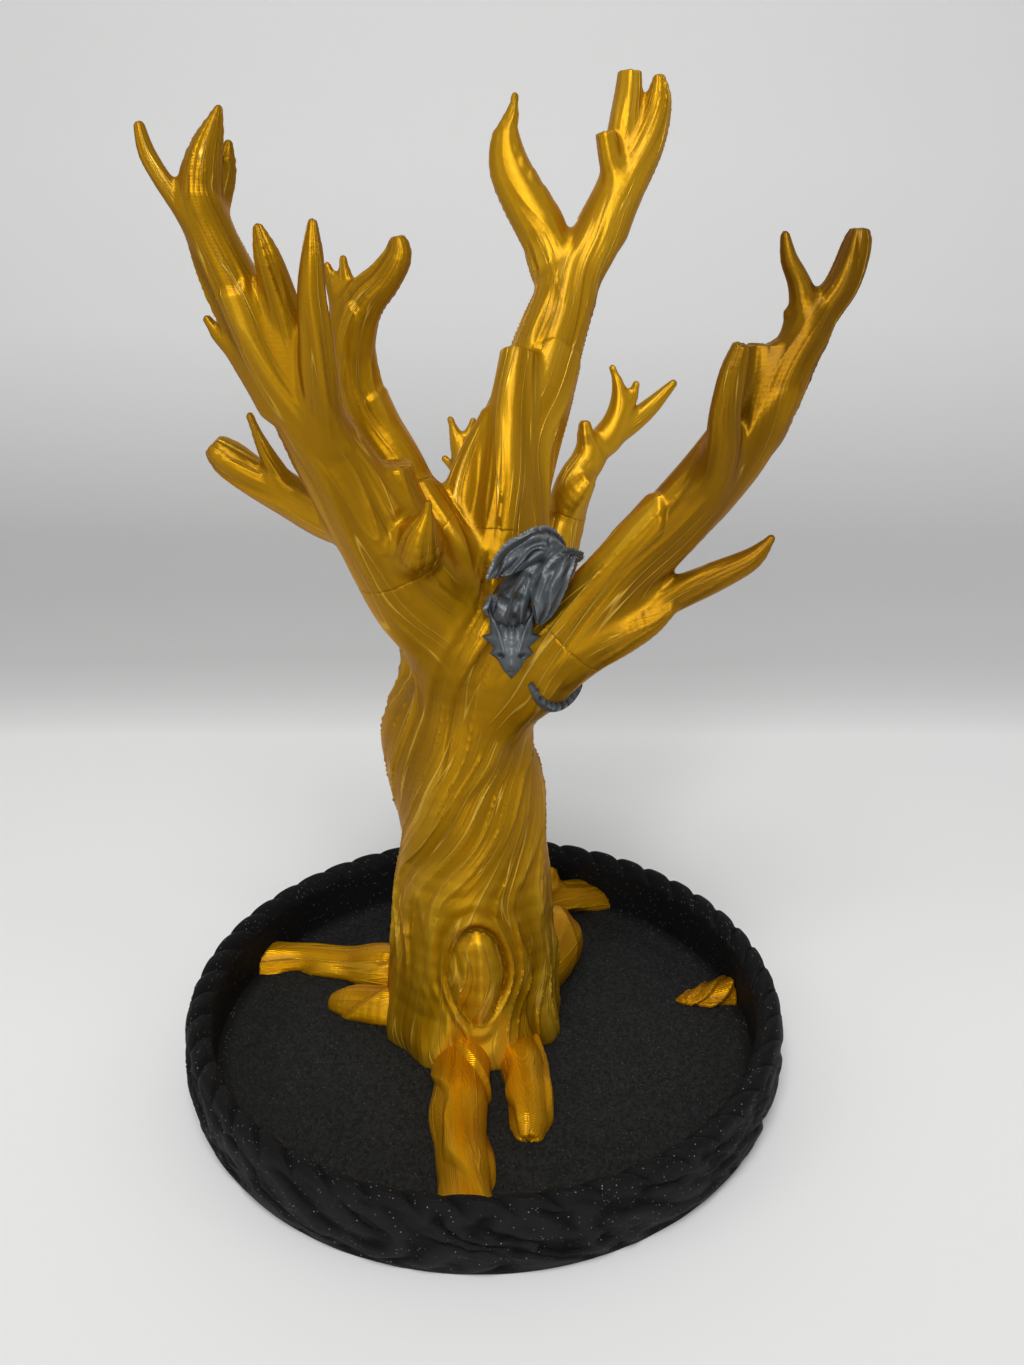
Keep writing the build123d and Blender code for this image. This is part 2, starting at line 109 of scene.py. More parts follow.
LEFT_TWIGS = [
    [(-51, -23, 205, 2.6), (-54.5, -24, 208.5, 2.1), (-58, -25, 214, 1.8), (-60.7, -25, 219, 1.6),
     (-61.6, -25, 223.4, 1.1)],
    [(-51, -22, 205, 2.8), (-50, -19, 211, 2.8), (-48.2, -18, 216.5, 2.3), (-47, -18, 221, 0.9)],
    [(-34, -17, 168, 4.6), (-35.8, -20, 181, 4.4), (-38.2, -24, 194, 3.3), (-39.6, -26, 201, 2.5),
     (-40.8, -26, 205.8, 1.1)],
    [(-31, -18, 165, 4.2), (-31, -25, 179, 3.6), (-30.8, -29, 193, 2.9), (-30.1, -30, 201, 2.2),
     (-29.8, -30, 206.8, 1)],
    [(-42, -19, 172, 3), (-47.7, -20, 182, 2.1), (-51.7, -20, 186.5, 1.5), (-53.5, -20, 189, 0.6)],
    [(-23, -8, 144, 6.6), (-34, -4, 145.6, 5.8), (-43.5, 0, 149, 4.8), (-51.6, 2, 153, 4.3),
     (-57.3, 3, 157, 4.1), (-60.8, 3, 160.3, 2.3)],
    [(-43, -1, 150, 2.8), (-47, -1, 157, 2), (-49.5, 0, 162, 1.3), (-51.4, 1, 166.8, 0.6)],
    [(-16.5, -7, 139, 4.8), (-14, -14, 140, 5.6), (-13, -17.4, 144, 4.2), (-11.4, -18.6, 148, 2),
     (-10.6, -19, 151.4, 0.7)],
    [(-13, -4, 130, 7.4), (-16.4, -6.4, 142, 7.2), (-18.6, -8, 150.6, 6), (-19.4, -9, 157.6, 4.7)],
    [(-8, 0, 124, 10), (-9.4, 3.4, 134, 8), (-12.4, 7, 142.6, 5.6), (-14.6, 9.6, 149.4, 3.4)],
]
HOOK_BOUGH = [
    (-6, 11, 98, 9.5), (-10, 13, 118, 10.2), (-18.6, 14.6, 138.6, 7.7), (-21.4, 15, 151, 7.8),
    (-25.4, 15, 161, 6.5), (-28.4, 14, 171, 5.5), (-29.2, 13, 179, 5), (-28.2, 12, 186, 5),
    (-25.6, 11, 191, 4.6), (-21.4, 10, 195, 3.8), (-18, 9, 199.4, 3.1), (-17.4, 9, 202.2, 2.4),
    (-17.8, 9, 204.4, 1.3),
]
HOOK_TWIGS = [
    [(-29.2, 12.4, 181, 3.6), (-31.4, 13, 190, 2.5), (-33.2, 14, 194.8, 1.7), (-34.2, 14, 198.1, 0.6)],
    [(-28.2, 12, 184, 3.3), (-29.6, 13, 192.4, 2.2), (-30.2, 13, 196.6, 1.5), (-30.4, 13, 199.6, 0.6)],
    [(-11, 12, 126, 8), (-14, 12.5, 139, 6.9), (-16.4, 13, 148, 5.6), (-21, 13.5, 158, 4.4),
     (-25, 14, 167, 2.4)],
]
CENTRE_BOUGH = [
    (0, 10, 98, 13), (4, 13.5, 116, 13.6), (4.3, 18, 136, 12.2), (7.3, 24, 153.7, 10.8),
    (13.2, 31, 169.7, 9.3), (18.2, 38, 183.4, 8.2), (23, 43, 195, 7), (28, 45.5, 203, 6.4),
    (32, 47.5, 210.5, 6), (36, 49, 217.5, 5.4), (39.7, 50.5, 224, 4.6), (42, 52, 230, 3.9),
    (43, 52, 235.6, 3), (42.8, 52, 240.6, 1.2),
]
CENTRE_TWIGS = [
    [(21, 42, 190, 6.2), (18.5, 44.5, 198, 6), (14.6, 46, 206, 5.6), (10.6, 47, 213, 5.1),
     (6.9, 48, 220.6, 4.1), (5.9, 48, 226.6, 2.9), (7.4, 48, 231.8, 1.6), (8, 48, 235.4, 0.5)],
    [(31, 47, 206, 5), (33.4, 49.5, 215, 4.7), (34, 51, 223.7, 4.2), (34.8, 52, 231, 3.7),
     (35.6, 52, 237.4, 3.3), (35.7, 52, 241.6, 2.9)],
    [(33.2, 48.4, 207, 2.6), (33.6, 48, 212, 3.2), (32.6, 46.8, 217, 3.2), (31, 46.2, 222.4, 2.8),
     (29.8, 46, 227.6, 2.4)],
    [(2.6, 8, 124, 7.4), (3, 9, 134, 7.4), (3.8, 11.4, 144, 7), (5.4, 15.4, 155, 6.4),
     (7.6, 20.6, 168, 5.4), (8.9, 24.6, 178.6, 4.3)],
    [(2, 25, 143, 5), (-2, 31, 147, 4), (-5, 34.6, 151, 3), (-6.9, 37, 156, 1.8), (-8.4, 38, 160.4, 0.6)],
    [(-4.8, 34.2, 149.6, 2.6), (-4.6, 36.6, 154.6, 1.7), (-2.6, 38, 160, 0.6)],
    [(-3, 31.5, 143.4, 2.4), (-7, 35, 147.8, 1.4), (-10, 37, 150.6, 0.6)],
    [(-2, 11, 124, 9), (-3, 12.5, 136, 7.6), (-4, 14, 146, 5.4), (-1.5, 16.5, 156, 3.6),
     (2, 19.5, 165, 1.8)],
    [(14.2, 45.6, 207, 5.3), (9.9, 46.8, 213, 5), (6.7, 47.8, 219, 4.7), (5.8, 48, 224, 3.6),
     (5.8, 48, 227.6, 2.2)],
    [(12.4, 45.6, 212.8, 1.6), (15.8, 44.6, 213.6, 2.1)],
    [(9.8, 45.8, 216.6, 1.6), (13.1, 44.8, 217.5, 2.2)],
    [(8, 46, 219.6, 1.6), (10.9, 45, 220.8, 2)],
    [(6.8, 46.6, 222.8, 1.4), (9.3, 45.6, 223.8, 1.7)],
]
BACK_BOUGH = [
    (6, 13, 98, 9.5), (13.6, 25, 118, 7.6), (21, 32, 137, 5), (23, 31, 145, 4.7), (26.8, 34, 151, 3.9),
    (31, 37, 155.4, 3.4), (36.4, 39, 158.6, 3), (42.5, 40.5, 163, 2.3), (48.5, 41, 169, 1),
]
BACK_TWIGS = [
    [(32.4, 37, 155.6, 2.8), (35.6, 38, 161.6, 2.2), (37.8, 38, 166.2, 1.5), (38.7, 38, 169.2, 0.6)],
    [(30.8, 36.6, 155, 3.2), (34, 37.6, 162, 2.6), (34.4, 38, 168, 1.8), (32.6, 38, 173.2, 0.6)],
    [(21.6, 29.6, 140.6, 4), (24.6, 27.6, 144, 2.9), (27, 27, 147.4, 1.9)],
    [(27.2, 34, 151, 3.2), (26, 33, 157.4, 2.2), (25.6, 33, 161, 1.2)],
]
RIGHT_BOUGH = [
    (0, 4, 97, 12.5), (10.6, -0.6, 107.6, 12.6), (21.6, -5, 118.2, 10.6), (33, -8, 133, 8),
    (42, -10, 144.4, 7.5), (50.8, -11, 155.4, 7.2), (57.4, -11, 165, 7), (62.4, -10.5, 173.4, 6.3),
    (67.4, -9.6, 182.2, 5), (72, -8, 189.4, 3.9), (75.6, -8, 194.6, 3.6), (77.3, -8, 199.4, 3.3),
    (78.1, -8, 203.4, 2.8), (78.3, -8, 206, 1.7),
]
RIGHT_TWIGS = [
    [(69.4, -8.6, 185, 3.6), (67.2, -8, 194.6, 2.6), (64.4, -8, 200, 1.9), (63.2, -8, 204.4, 1.1)],
    [(45, -10.4, 145, 3.6), (49.4, -14.4, 153.6, 4), (51, -18, 162, 3.9), (50.8, -20.6, 171, 3.3),
     (51.6, -22.2, 178.6, 2.8), (53.2, -22.8, 184.6, 1.9)],
    [(60, -10.6, 167, 5.6), (60, -9.6, 177, 5), (60.4, -9, 183, 3.9)],
    [(66.4, -9, 180.6, 2.4), (65.8, -8.4, 186.2, 1.5), (65, -8, 189.4, 0.6)],
    [(25.4, -6.8, 120.6, 6.2), (34, -9, 123.4, 5), (43.4, -11, 128.6, 4), (53.4, -13, 134, 3.2),
     (60.4, -14, 138.2, 2.3), (64.2, -14, 142.6, 0.8)],
    [(20, -8, 113, 6.4), (29, -11.4, 117.6, 4.9), (36.4, -13.4, 121.8, 3.4), (40.4, -14.4, 124.2, 2),
     (42.8, -14.8, 126.2, 0.9)],
]

DRAGON_BACK = [
    (3.2, -14.4, 127.4, 2.6), (4.4, -12.8, 132.6, 3.1), (8, -10.8, 137, 3.7), (13, -9.2, 139.5, 4.2),
    (15.4, -9, 138.8, 4), (16.2, -9, 136.4, 3.4),
]
# Belly: a dark fill behind the neck where there is deep shade
DRAGON_BELLY_SHADE_FILL = [(5, -7.6, 125, 3.6), (9, -6.4, 129.6, 4.4), (14, -6, 130, 4.4), (17, -7, 128, 3.4)]
DRAGON_HAUNCH = [
    (22.4, -12, 138, 1.1), (20.2, -13, 138.2, 2), (18.3, -14.2, 136.6, 3.2), (15.6, -16.2, 132.4, 3.7),
    (14.4, -17.2, 128.4, 2.8), (13.4, -18, 125, 1),
]
DRAGON_NECK = [
    (12.6, -11, 135, 2.3), (10.6, -13.4, 132, 2.4), (9, -15, 128.6, 2.3), (7.8, -16, 124.4, 2.2),
    (7.2, -16.8, 120.4, 1.8),
]
# Chest: a dark fill behind the neck where there is deep shade
DRAGON_CHEST_SHADE_FILL = [(3.8, -10.6, 125.4, 3.4), (7.6, -11.4, 123.6, 3.8), (12, -11.4, 124.6, 3.4)]
DRAGON_SNOUT = (7.2, -21.4, 112.6)
HEAD_OUTLINE = [  # right half, in shares of the half width and of the length
    (0, 0), (0.28, 0.12), (0.46, 0.27), (0.75, 0.36), (0.61, 0.45), (1.02, 0.61), (0.74, 0.64), (0.78, 1),
    (0.47, 0.78), (0.32, 0.8), (0.14, 0.74), (0.08, 0.79), (0, 0.74),
]

well_radius = TRAY_RADIUS - TRAY_RIM_IN - WALL


def from_wall(turn, inward, *height_and_radius):
    """Point so far in from the wall's inner face, turn degrees round from +X."""
    reach = well_radius - inward
    return (reach * math.cos(math.radians(turn)), reach * math.sin(math.radians(turn)), *height_and_radius)


ROOTS = {
    "root_front_long": [(-5.4, -4, 1, 7.6), (-5.7, -16, 1, 7.5), (-5.6, -34, 0.6, 7.1),
                        from_wall(-93.6, 18.4, 0.5, 6.5), from_wall(-91.4, -5, 0.5, 6)],
    "root_front_short": [(8.8, -3, 1, 6), (9.9, -16, 1, 6), (11.6, -28, 0.6, 5.8), (11.8, -37, 0.5, 4.9),
                         (11.4, -42.4, 0.3, 2.4)],
    "root_left_long": [(-14, 21, 0.5, 8), (-29, 24.8, 0.5, 8.1), (-43, 28.6, 0.5, 5.8),
                       from_wall(151.5, 7.6, 0.5, 5.1), from_wall(157.5, -5, 0.5, 5.4)],
    "root_left_short": [(-14, 7, 0.5, 7), (-28, 7.8, 0.5, 7), (-36, 9.2, 0.5, 5.6), (-42, 10.4, 0.3, 3.4),
                        (-44.8, 11, 0.2, 1.2)],
    "root_right": [(6, 16, 5, 9.5), (14, 24, 6, 10.4), (18.6, 33, 5, 10.2), (20.2, 42, 3, 7.6),
                   (20, 48, 1, 3)],
    "root_back": [(-3, 26, 1, 6.8), (-2, 40, 1, 6.6), (6, 53, 2, 6.3), from_wall(72.4, 9.6, 3, 6),
                  from_wall(59, -5, 0.5, 5.2)],
    "root_wall_tip": [from_wall(12.5, 16.2, 0.2, 0.9), from_wall(12.1, 12.8, 0.3, 2.6),
                      from_wall(11.9, 6.5, 0.5, 4.3), from_wall(12.8, -5, 0.5, 5)],
}
ROOT_SPUR = [from_wall(76.9, 15, 4, 5), from_wall(73.7, 6.9, 8, 4.2), from_wall(73.4, 3.4, 12, 2.2)]

LIMBS = {
    "limb_left": (LEFT_BOUGH, LEFT_TWIGS),
    "limb_hook": (HOOK_BOUGH, HOOK_TWIGS),
    "limb_centre": (CENTRE_BOUGH, CENTRE_TWIGS),
    "limb_back": (BACK_BOUGH, BACK_TWIGS),
    "limb_right": (RIGHT_BOUGH, RIGHT_TWIGS),
}
ACROSS = (0.0, 1.0, 0.0)
UPRIGHT = (0.0, 0.0, 1.0)


# Carving: every wooden form is a block of distances, skinned and then given its bark

FAR = 5.0  # distances are kept up to here
NEAR = 6.0  # a run's bark counts up to here from its skin
BLUNT_FROM = 1.15  # radius from which the end of a run is cut flat
RUN_BLEND = 1.5  # how softly the bark of one run passes into the next


def step_up(values, low, high):
    """Smooth step from 0 at low to 1 at high."""
    t = np.clip((values - low) / (high - low), 0, 1)
    return t * t * (3 - 2 * t)


class Noise:
    """Smooth gradient noise in three dimensions, from about -1 to 1, the same for the same seed."""

    def __init__(self, seed):
        slopes = np.random.default_rng(seed).normal(size=(32, 32, 32, 3))
        self.slopes = (slopes / np.linalg.norm(slopes, axis=3, keepdims=True)).astype(np.float32)

    def __call__(self, *coordinates):
        spots = np.stack(np.broadcast_arrays(*coordinates), axis=-1).astype(np.float32)
        cells = np.floor(spots).astype(int)
        inside = spots - cells
        ease = inside ** 3 * (inside * (inside * 6 - 15) + 10)
        total = np.zeros(len(spots), np.float32)
        for corner in product((0, 1), repeat=3):
            slope = self.slopes[tuple(((cells + corner) & 31).T)]
            share = np.where(corner, ease, 1 - ease).prod(axis=1)
            total += share * ((inside - corner) * slope).sum(axis=1)
        return total * 1.7


broad_noise, fold_noise, crest_noise, fine_noise, wander_noise = map(Noise, (3, 7, 11, 19, 23))


class Run:
    """A stretch of wood as a smooth line of centres and radii, with a frame that its bark turns in."""

    def __init__(self, points, side=ACROSS, turn=0.6, seed=0, step=1.6):
        points = np.array(points, float)
        points[:, 2] += FLOOR
        ends = np.vstack([points[:1], points, points[-1:]])
        spots, places = [], []
        for i in range(len(points) - 1):
            a, b, c, d = ends[i:i + 4]
            count = max(2, round(np.linalg.norm(c[:3] - b[:3]) / step))
            t = np.arange(count)[:, None] / count
            spots.append(0.5 * (2 * b + (c - a) * t + (2 * a - 5 * b + 4 * c - d) * t ** 2
                                + (3 * b - a - 3 * c + d) * t ** 3))
            places.append(i + t[:, 0])
        spots = np.vstack([*spots, points[-1:]])
        self.places = np.concatenate([*places, [len(points) - 1]])
        self.at, self.radius = spots[:, :3], np.maximum(spots[:, 3], 0.9)
        along = np.gradient(self.at, axis=0)
        self.along = along / np.linalg.norm(along, axis=1, keepdims=True)
        across = np.array(side) - self.along * (self.along @ np.array(side))[:, None]
        self.across = across / np.linalg.norm(across, axis=1, keepdims=True)
        self.over = np.cross(self.along, self.across)
        self.length = np.append(0, np.cumsum(np.linalg.norm(np.diff(self.at, axis=0), axis=1)))
        self.turn, self.seed, self.blunt = turn, seed, points[-1, 3] > BLUNT_FROM
        self.gauge = float(np.median(self.radius))

    def beads(self):
        """Centres and radii far enough apart to draw the run with."""
        stride = max(1, round(0.16 * self.radius.mean()))
        kept = np.unique(np.append(np.arange(0, len(self.at), stride), len(self.at) - 1))
        return self.at[kept], self.radius[kept]

    def seat(self, place):
        """Centre and direction of the run at one of its points."""
        i = int(np.argmin(abs(self.places - place)))
        return self.at[i], self.along[i]

    def spot(self, points):
        """For each point: distance to the run's skin, length along it and angle round it."""
        skin = np.full(len(points), 1e3, np.float32)
        along, angle = np.zeros((2, len(points)), np.float32)
        low = (self.at - self.radius[:, None]).min(axis=0) - NEAR
        high = (self.at + self.radius[:, None]).max(axis=0) + NEAR
        near = np.flatnonzero(((points > low) & (points < high)).all(axis=1))
        for part in np.array_split(near, len(near) // 20000 + 1):
            p = points[part]
            gaps = np.linalg.norm(p[:, None] - self.at, axis=2) - self.radius
            i = gaps.argmin(axis=1)
            offset = p - self.at[i]
            slide, x, y = ((offset * way[i]).sum(axis=1) for way in (self.along, self.across, self.over))
            skin[part] = gaps[np.arange(len(part)), i]
            along[part] = self.length[i] + np.sign(slide) * np.minimum(abs(slide), 2 + 0.3 * self.radius[i])
            angle[part] = np.arctan2(y, x)
        return skin, along, angle


class Block:
    """A block of distances to a skin, negative inside, on an even grid."""

    def __init__(self, runs, voxel, margin=2.5):
        self.voxel = voxel
        self.low = np.min([(r.at - r.radius[:, None]).min(axis=0) for r in runs], axis=0) - margin
        high = np.max([(r.at + r.radius[:, None]).max(axis=0) for r in runs], axis=0) + margin
        self.size = np.ceil((high - self.low) / voxel).astype(int) + 1

    def empty(self):
        return np.full(self.size, FAR, np.float32)

    def span(self, low, high):
        """Part of the grid between two corners."""
        first = np.clip(np.floor((low - self.low) / self.voxel).astype(int), 0, self.size)
        last = np.clip(np.ceil((high - self.low) / self.voxel).astype(int) + 1, 0, self.size)
        return tuple(map(slice, first, last))

    def axes(self, span=None):
        span = span or tuple(map(slice, (0, 0, 0), self.size))
        return np.ix_(*[(self.low[k] + self.voxel * np.arange(s.start, s.stop)).astype(np.float32)
                        for k, s in enumerate(span)])

    def tube(self, at, radius):
        """Distances to a tapering tube through the given centres, as an array over a span of the block."""
        whole = self.span((at - radius[:, None]).min(axis=0) - FAR, (at + radius[:, None]).max(axis=0) + FAR)
        if any(s.start >= s.stop for s in whole):
            return None, None
        gap = np.full([s.stop - s.start for s in whole], FAR, np.float32)
        for a, b, wide, thin in zip(at, at[1:], radius, radius[1:]):
            reach = max(wide, thin) + FAR * 0.7
            span = self.span(np.minimum(a, b) - reach, np.maximum(a, b) + reach)
            span = tuple(slice(max(s.start, w.start), min(s.stop, w.stop)) for s, w in zip(span, whole))
            if any(s.start >= s.stop for s in span):
                continue
            x, y, z = (line - start for line, start in zip(self.axes(span), a))
            d = (b - a).astype(np.float32)
            dot = x * d[0] + y * d[1] + z * d[2]
            t = np.clip(dot / (d @ d), 0, 1)
            away = np.sqrt(np.maximum(x * x + y * y + z * z - 2 * t * dot + t * t * (d @ d), 0))
            local = tuple(slice(s.start - w.start, s.stop - w.start) for s, w in zip(span, whole))
            np.minimum(gap[local], away - wide - t * (thin - wide), out=gap[local])
        return whole, gap

    def lay(self, whole, run, blend=0.1):
        """Join a run onto the block's field, with a fillet of the given radius."""
        at, radius = run.beads()
        span, gap = self.tube(at, radius)
        if span is None:
            return
        if run.blunt:
            gap = meet(gap, self.past(at[-1], run.along[-1], span), 0.5)
        whole[span] = join(whole[span], gap, blend)

    def past(self, origin, outward, span=None):
        """Distances past a plane."""
        return sum((line - start) * np.float32(way)
                   for line, start, way in zip(self.axes(span), origin, outward))

    def sample(self, field, points):
        """Values of a field at points, evenly interpolated."""
        spots = np.clip((points - self.low) / self.voxel, 0, self.size - 1.001)
        cells = spots.astype(int)
        inside = spots - cells
        total = np.zeros(len(points))
        for corner in product((0, 1), repeat=3):
            total += np.where(corner, inside, 1 - inside).prod(axis=1) * field[tuple((cells + corner).T)]
        return total

    def slopes(self, field, points):
        """Directions in which a field rises at points."""
        rise = np.stack([self.sample(field, points + d) - self.sample(field, points - d)
                         for d in np.eye(3) * self.voxel], axis=1)
        return rise / np.maximum(np.linalg.norm(rise, axis=1, keepdims=True), 1e-6)


def join(first, second, blend):
    """Union of two fields with a fillet of the given radius."""
    lead, lag = np.maximum(blend - first, 0), np.maximum(blend - second, 0)
    return np.maximum(np.minimum(first, second), blend) - np.sqrt(lead * lead + lag * lag)


def meet(first, second, blend):
    """Overlap of two fields with a rounded edge."""
    return -join(-first, -second, blend)


def skinned(gap, voxel, low):
    """Points and quads of the surface where a field is zero."""
    grid = openvdb.FloatGrid(FAR)
    grid.copyFromArray(np.ascontiguousarray(gap, np.float32))
    points, quads = grid.convertToQuads(isovalue=0.0)
    return np.asarray(points, float) * voxel + low, np.asarray(quads)


def bare_mesh(name, points, faces, marks):
    """Mesh of points in millimetres, put into metres, with marks kept as its attributes."""
    mesh = bpy.data.meshes.new(name)
    mesh.from_pydata(points * MM, [], faces if isinstance(faces, list) else faces.tolist())
    mesh.validate()
    mesh.shade_smooth()
    mesh.set_sharp_from_angle(angle=math.radians(SHARP_EDGE))
    for mark, values in marks.items():
        kind, field = ("FLOAT_VECTOR", "vector") if values.ndim == 2 else ("FLOAT", "value")
        mesh.attributes.new(mark, kind, "POINT").data.foreach_set(field, values.astype(np.float32).ravel())
    return mesh


def crease(values, width):
    """One where a noise crosses zero, falling off to both sides as a sharp line does."""
    return np.exp(-abs(values) / width)


def strips(turned, phase, count):
    """Overlapping strips round a piece of wood: each rises slowly and drops at a sharp edge."""
    share = (turned * count / (2 * math.pi) + phase) % 1
    return np.where(share < 0.84, (share / 0.84) ** 1.4, (1 - share) / 0.16) - 0.45


# Runs whose bark is deeper, by their seeds
RUGGED = {30: 1.9, 38: 1.9}


def bough_bark(run, points, along, angle):
    """Height of the bark on a limb, and the place in its grain: long soft folds and a few sharp lines."""
    ring = run.gauge * 0.6 + 2.0
    s = along + 17.0 * run.seed
    slow = wander_noise(s * 0.03, 0.3 * run.seed, 0)
    turned = angle + np.radians(run.turn) * along + 0.6 * slow
    x, y = ring * np.cos(turned), ring * np.sin(turned)
    broad = broad_noise(x * 0.16, y * 0.16, s * 0.02)
    phase = 1.1 * fold_noise(x * 0.11 + 5, y * 0.11, s * 0.016)
    strength = step_up(fold_noise(x * 0.1, y * 0.1 + 7, s * 0.02), -0.5, 0.4)
    folds = strips(turned, phase, max(3, round(2 * math.pi * ring / 8.5)))
    crests = crease(crest_noise(x * 0.19, y * 0.19 + 9, s * 0.014), 0.05)
    fine = fine_noise(x * 0.5, y * 0.5, s * 0.03)
    height = 0.85 * broad + 0.95 * strength * folds + 0.4 * crests + 0.06 * fine
    girth = np.interp(along, run.length, run.radius)
    height *= np.clip(girth / 7.5, 0.1, 1.15) * RUGGED.get(run.seed, 1)
    for edge in FLAKES.get(run.seed, ()):
        height += edge.height(run, along, angle)
    return height, np.stack([x, y, 0.12 * s], axis=1)


class Flake:
    """Layer of bark that ends in a step with a wavy edge, on the side of a limb that faces a direction."""

    def __init__(self, place, fades_at, facing, raised, width=100, tongue=3.0):
        self.place, self.fades_at, self.facing, self.raised = place, fades_at, np.array(facing), raised
        self.width, self.tongue = math.radians(width), tongue

    def height(self, run, along, angle):
        i = int(np.argmin(abs(run.places - self.place)))
        middle = math.atan2(self.facing @ run.over[i], self.facing @ run.across[i])
        d = (angle - middle + math.pi) % (2 * math.pi) - math.pi
        edge, far = run.length[i], np.interp(self.fades_at, run.places, run.length)
        side = 1 if far < edge else -1
        wave = 1.3 * wander_noise(d * 1.8, self.place, 0) - self.tongue * (d / self.width) ** 2
        past = side * (along - edge) - wave
        slope = step_up(side * (along - far), 0, max(abs(edge - far) * 0.9, 1))
        window = step_up(-np.abs(d), -self.width, -0.55 * self.width)
        return self.raised * slope * window * step_up(-past, -0.9, 0.9)


# Flakes by the seed of their run: 1 to 5 are the boughs, 30 is the centre bough's first twig
FLAKES = {
    1: [Flake(5.85, 3.6, (0.6, -1, 0.2), 0.9, 78, 2.0), Flake(8.3, 7.0, (0.6, -1, 0), 0.4, 60)],
    2: [Flake(7.8, 5.2, (-1, -0.6, 0), 0.9, 90), Flake(5.0, 3.4, (1, -0.5, 0), 0.7, 55, 4.0)],
    3: [Flake(4.6, 2.6, (1, -0.6, 0), 0.45, 90)],
    5: [Flake(4.35, 2.2, (-0.3, -0.5, 0.9), 1.0, 55, 7.0), Flake(7.3, 6.0, (0.6, -1, 0), 0.5, 50, 5.0)],
    30: [Flake(0.5, 2.4, (-0.4, -1, 0), 0.8, 120)],
}


def carve(block, gap, whole, runs, bark=bough_bark, form=None):
    """Skin a field and raise the bark of the runs on it, as points, faces and marks for a mesh.

    The bark follows the whole form that the piece is cut from, so that cut faces stay flat and the
    bark runs on over a seam. It is calmer where several runs meet and deep in a fork. The mark
    "clear" is 0 where the grain changes from one run to another, so that no line shows there.
    """
    points, quads = skinned(gap, block.voxel, block.low)
    depth = block.sample(whole, points)
    normals = block.slopes(whole, points)
    spots = [run.spot(points) for run in runs]
    nearest = np.min([skin for skin, along, angle in spots], axis=0)
    total, height, best = np.full(len(points), 1e-6), np.zeros(len(points)), np.zeros(len(points))
    grain = np.zeros((len(points), 3))
    for run, (skin, along, angle) in zip(runs, spots):
        weight = np.exp(-(skin - nearest) / RUN_BLEND)
        on = np.flatnonzero(weight > 0.03)
        if not len(on):
            continue
        raised, place = bark(run, points[on], along[on], angle[on])
        total[on] += weight[on]
        height[on] += weight[on] * raised
        better = weight[on] > best[on]
        grain[on[better]] = place[better]
        best[on[better]] = weight[on][better]
    share, uncut = best / total, step_up(depth, -0.9, -0.25)
    height *= (0.55 + 0.45 * step_up(share, 0.4, 0.9)) * uncut / total
    height *= 0.15 + 0.85 * step_up(block.sample(whole, points + 3 * normals) - depth, 1.2, 2.5)
    swell = form(points) * uncut if form else 0
    marks = {"relief": height, "grain": grain, "clear": step_up(share, 0.52, 0.8)}
    return points + normals * (height + swell)[:, None], quads, marks


# Finishes

def operator(operation, reflected=False):
    """Method of a wire that adds a Math node, with its two values turned round or not."""
    def method(self, other):
        return self.maths(operation, *((other, self) if reflected else (self, other)))
    return method


class Wire:
    """A node's output that adds Math nodes when it is used in an expression."""

    def __init__(self, board, socket):
        self.board, self.socket = board, socket

    def maths(self, operation, *values):
        return self.board.node("ShaderNodeMath", {"operation": operation}, dict(enumerate(values)))

    __add__, __radd__ = operator("ADD"), operator("ADD", reflected=True)
    __sub__, __rsub__ = operator("SUBTRACT"), operator("SUBTRACT", reflected=True)
    __mul__, __rmul__ = operator("MULTIPLY"), operator("MULTIPLY", reflected=True)
    __truediv__, __pow__ = operator("DIVIDE"), operator("POWER")

    def __abs__(self):
        return self.maths("ABSOLUTE", self)

    def wave(self):
        return self.maths("SINE", self)

    def cosine(self):
        return self.maths("COSINE", self)

    def ramp(self, low, high, start=0.0, end=1.0, smooth=True):
        """Map low..high onto start..end and hold the ends."""
        kind = "SMOOTHSTEP" if smooth else "LINEAR"
        ends = {"From Min": low, "From Max": high, "To Min": start, "To Max": end}
        return self.board.node("ShaderNodeMapRange", {"interpolation_type": kind}, {"Value": self, **ends})


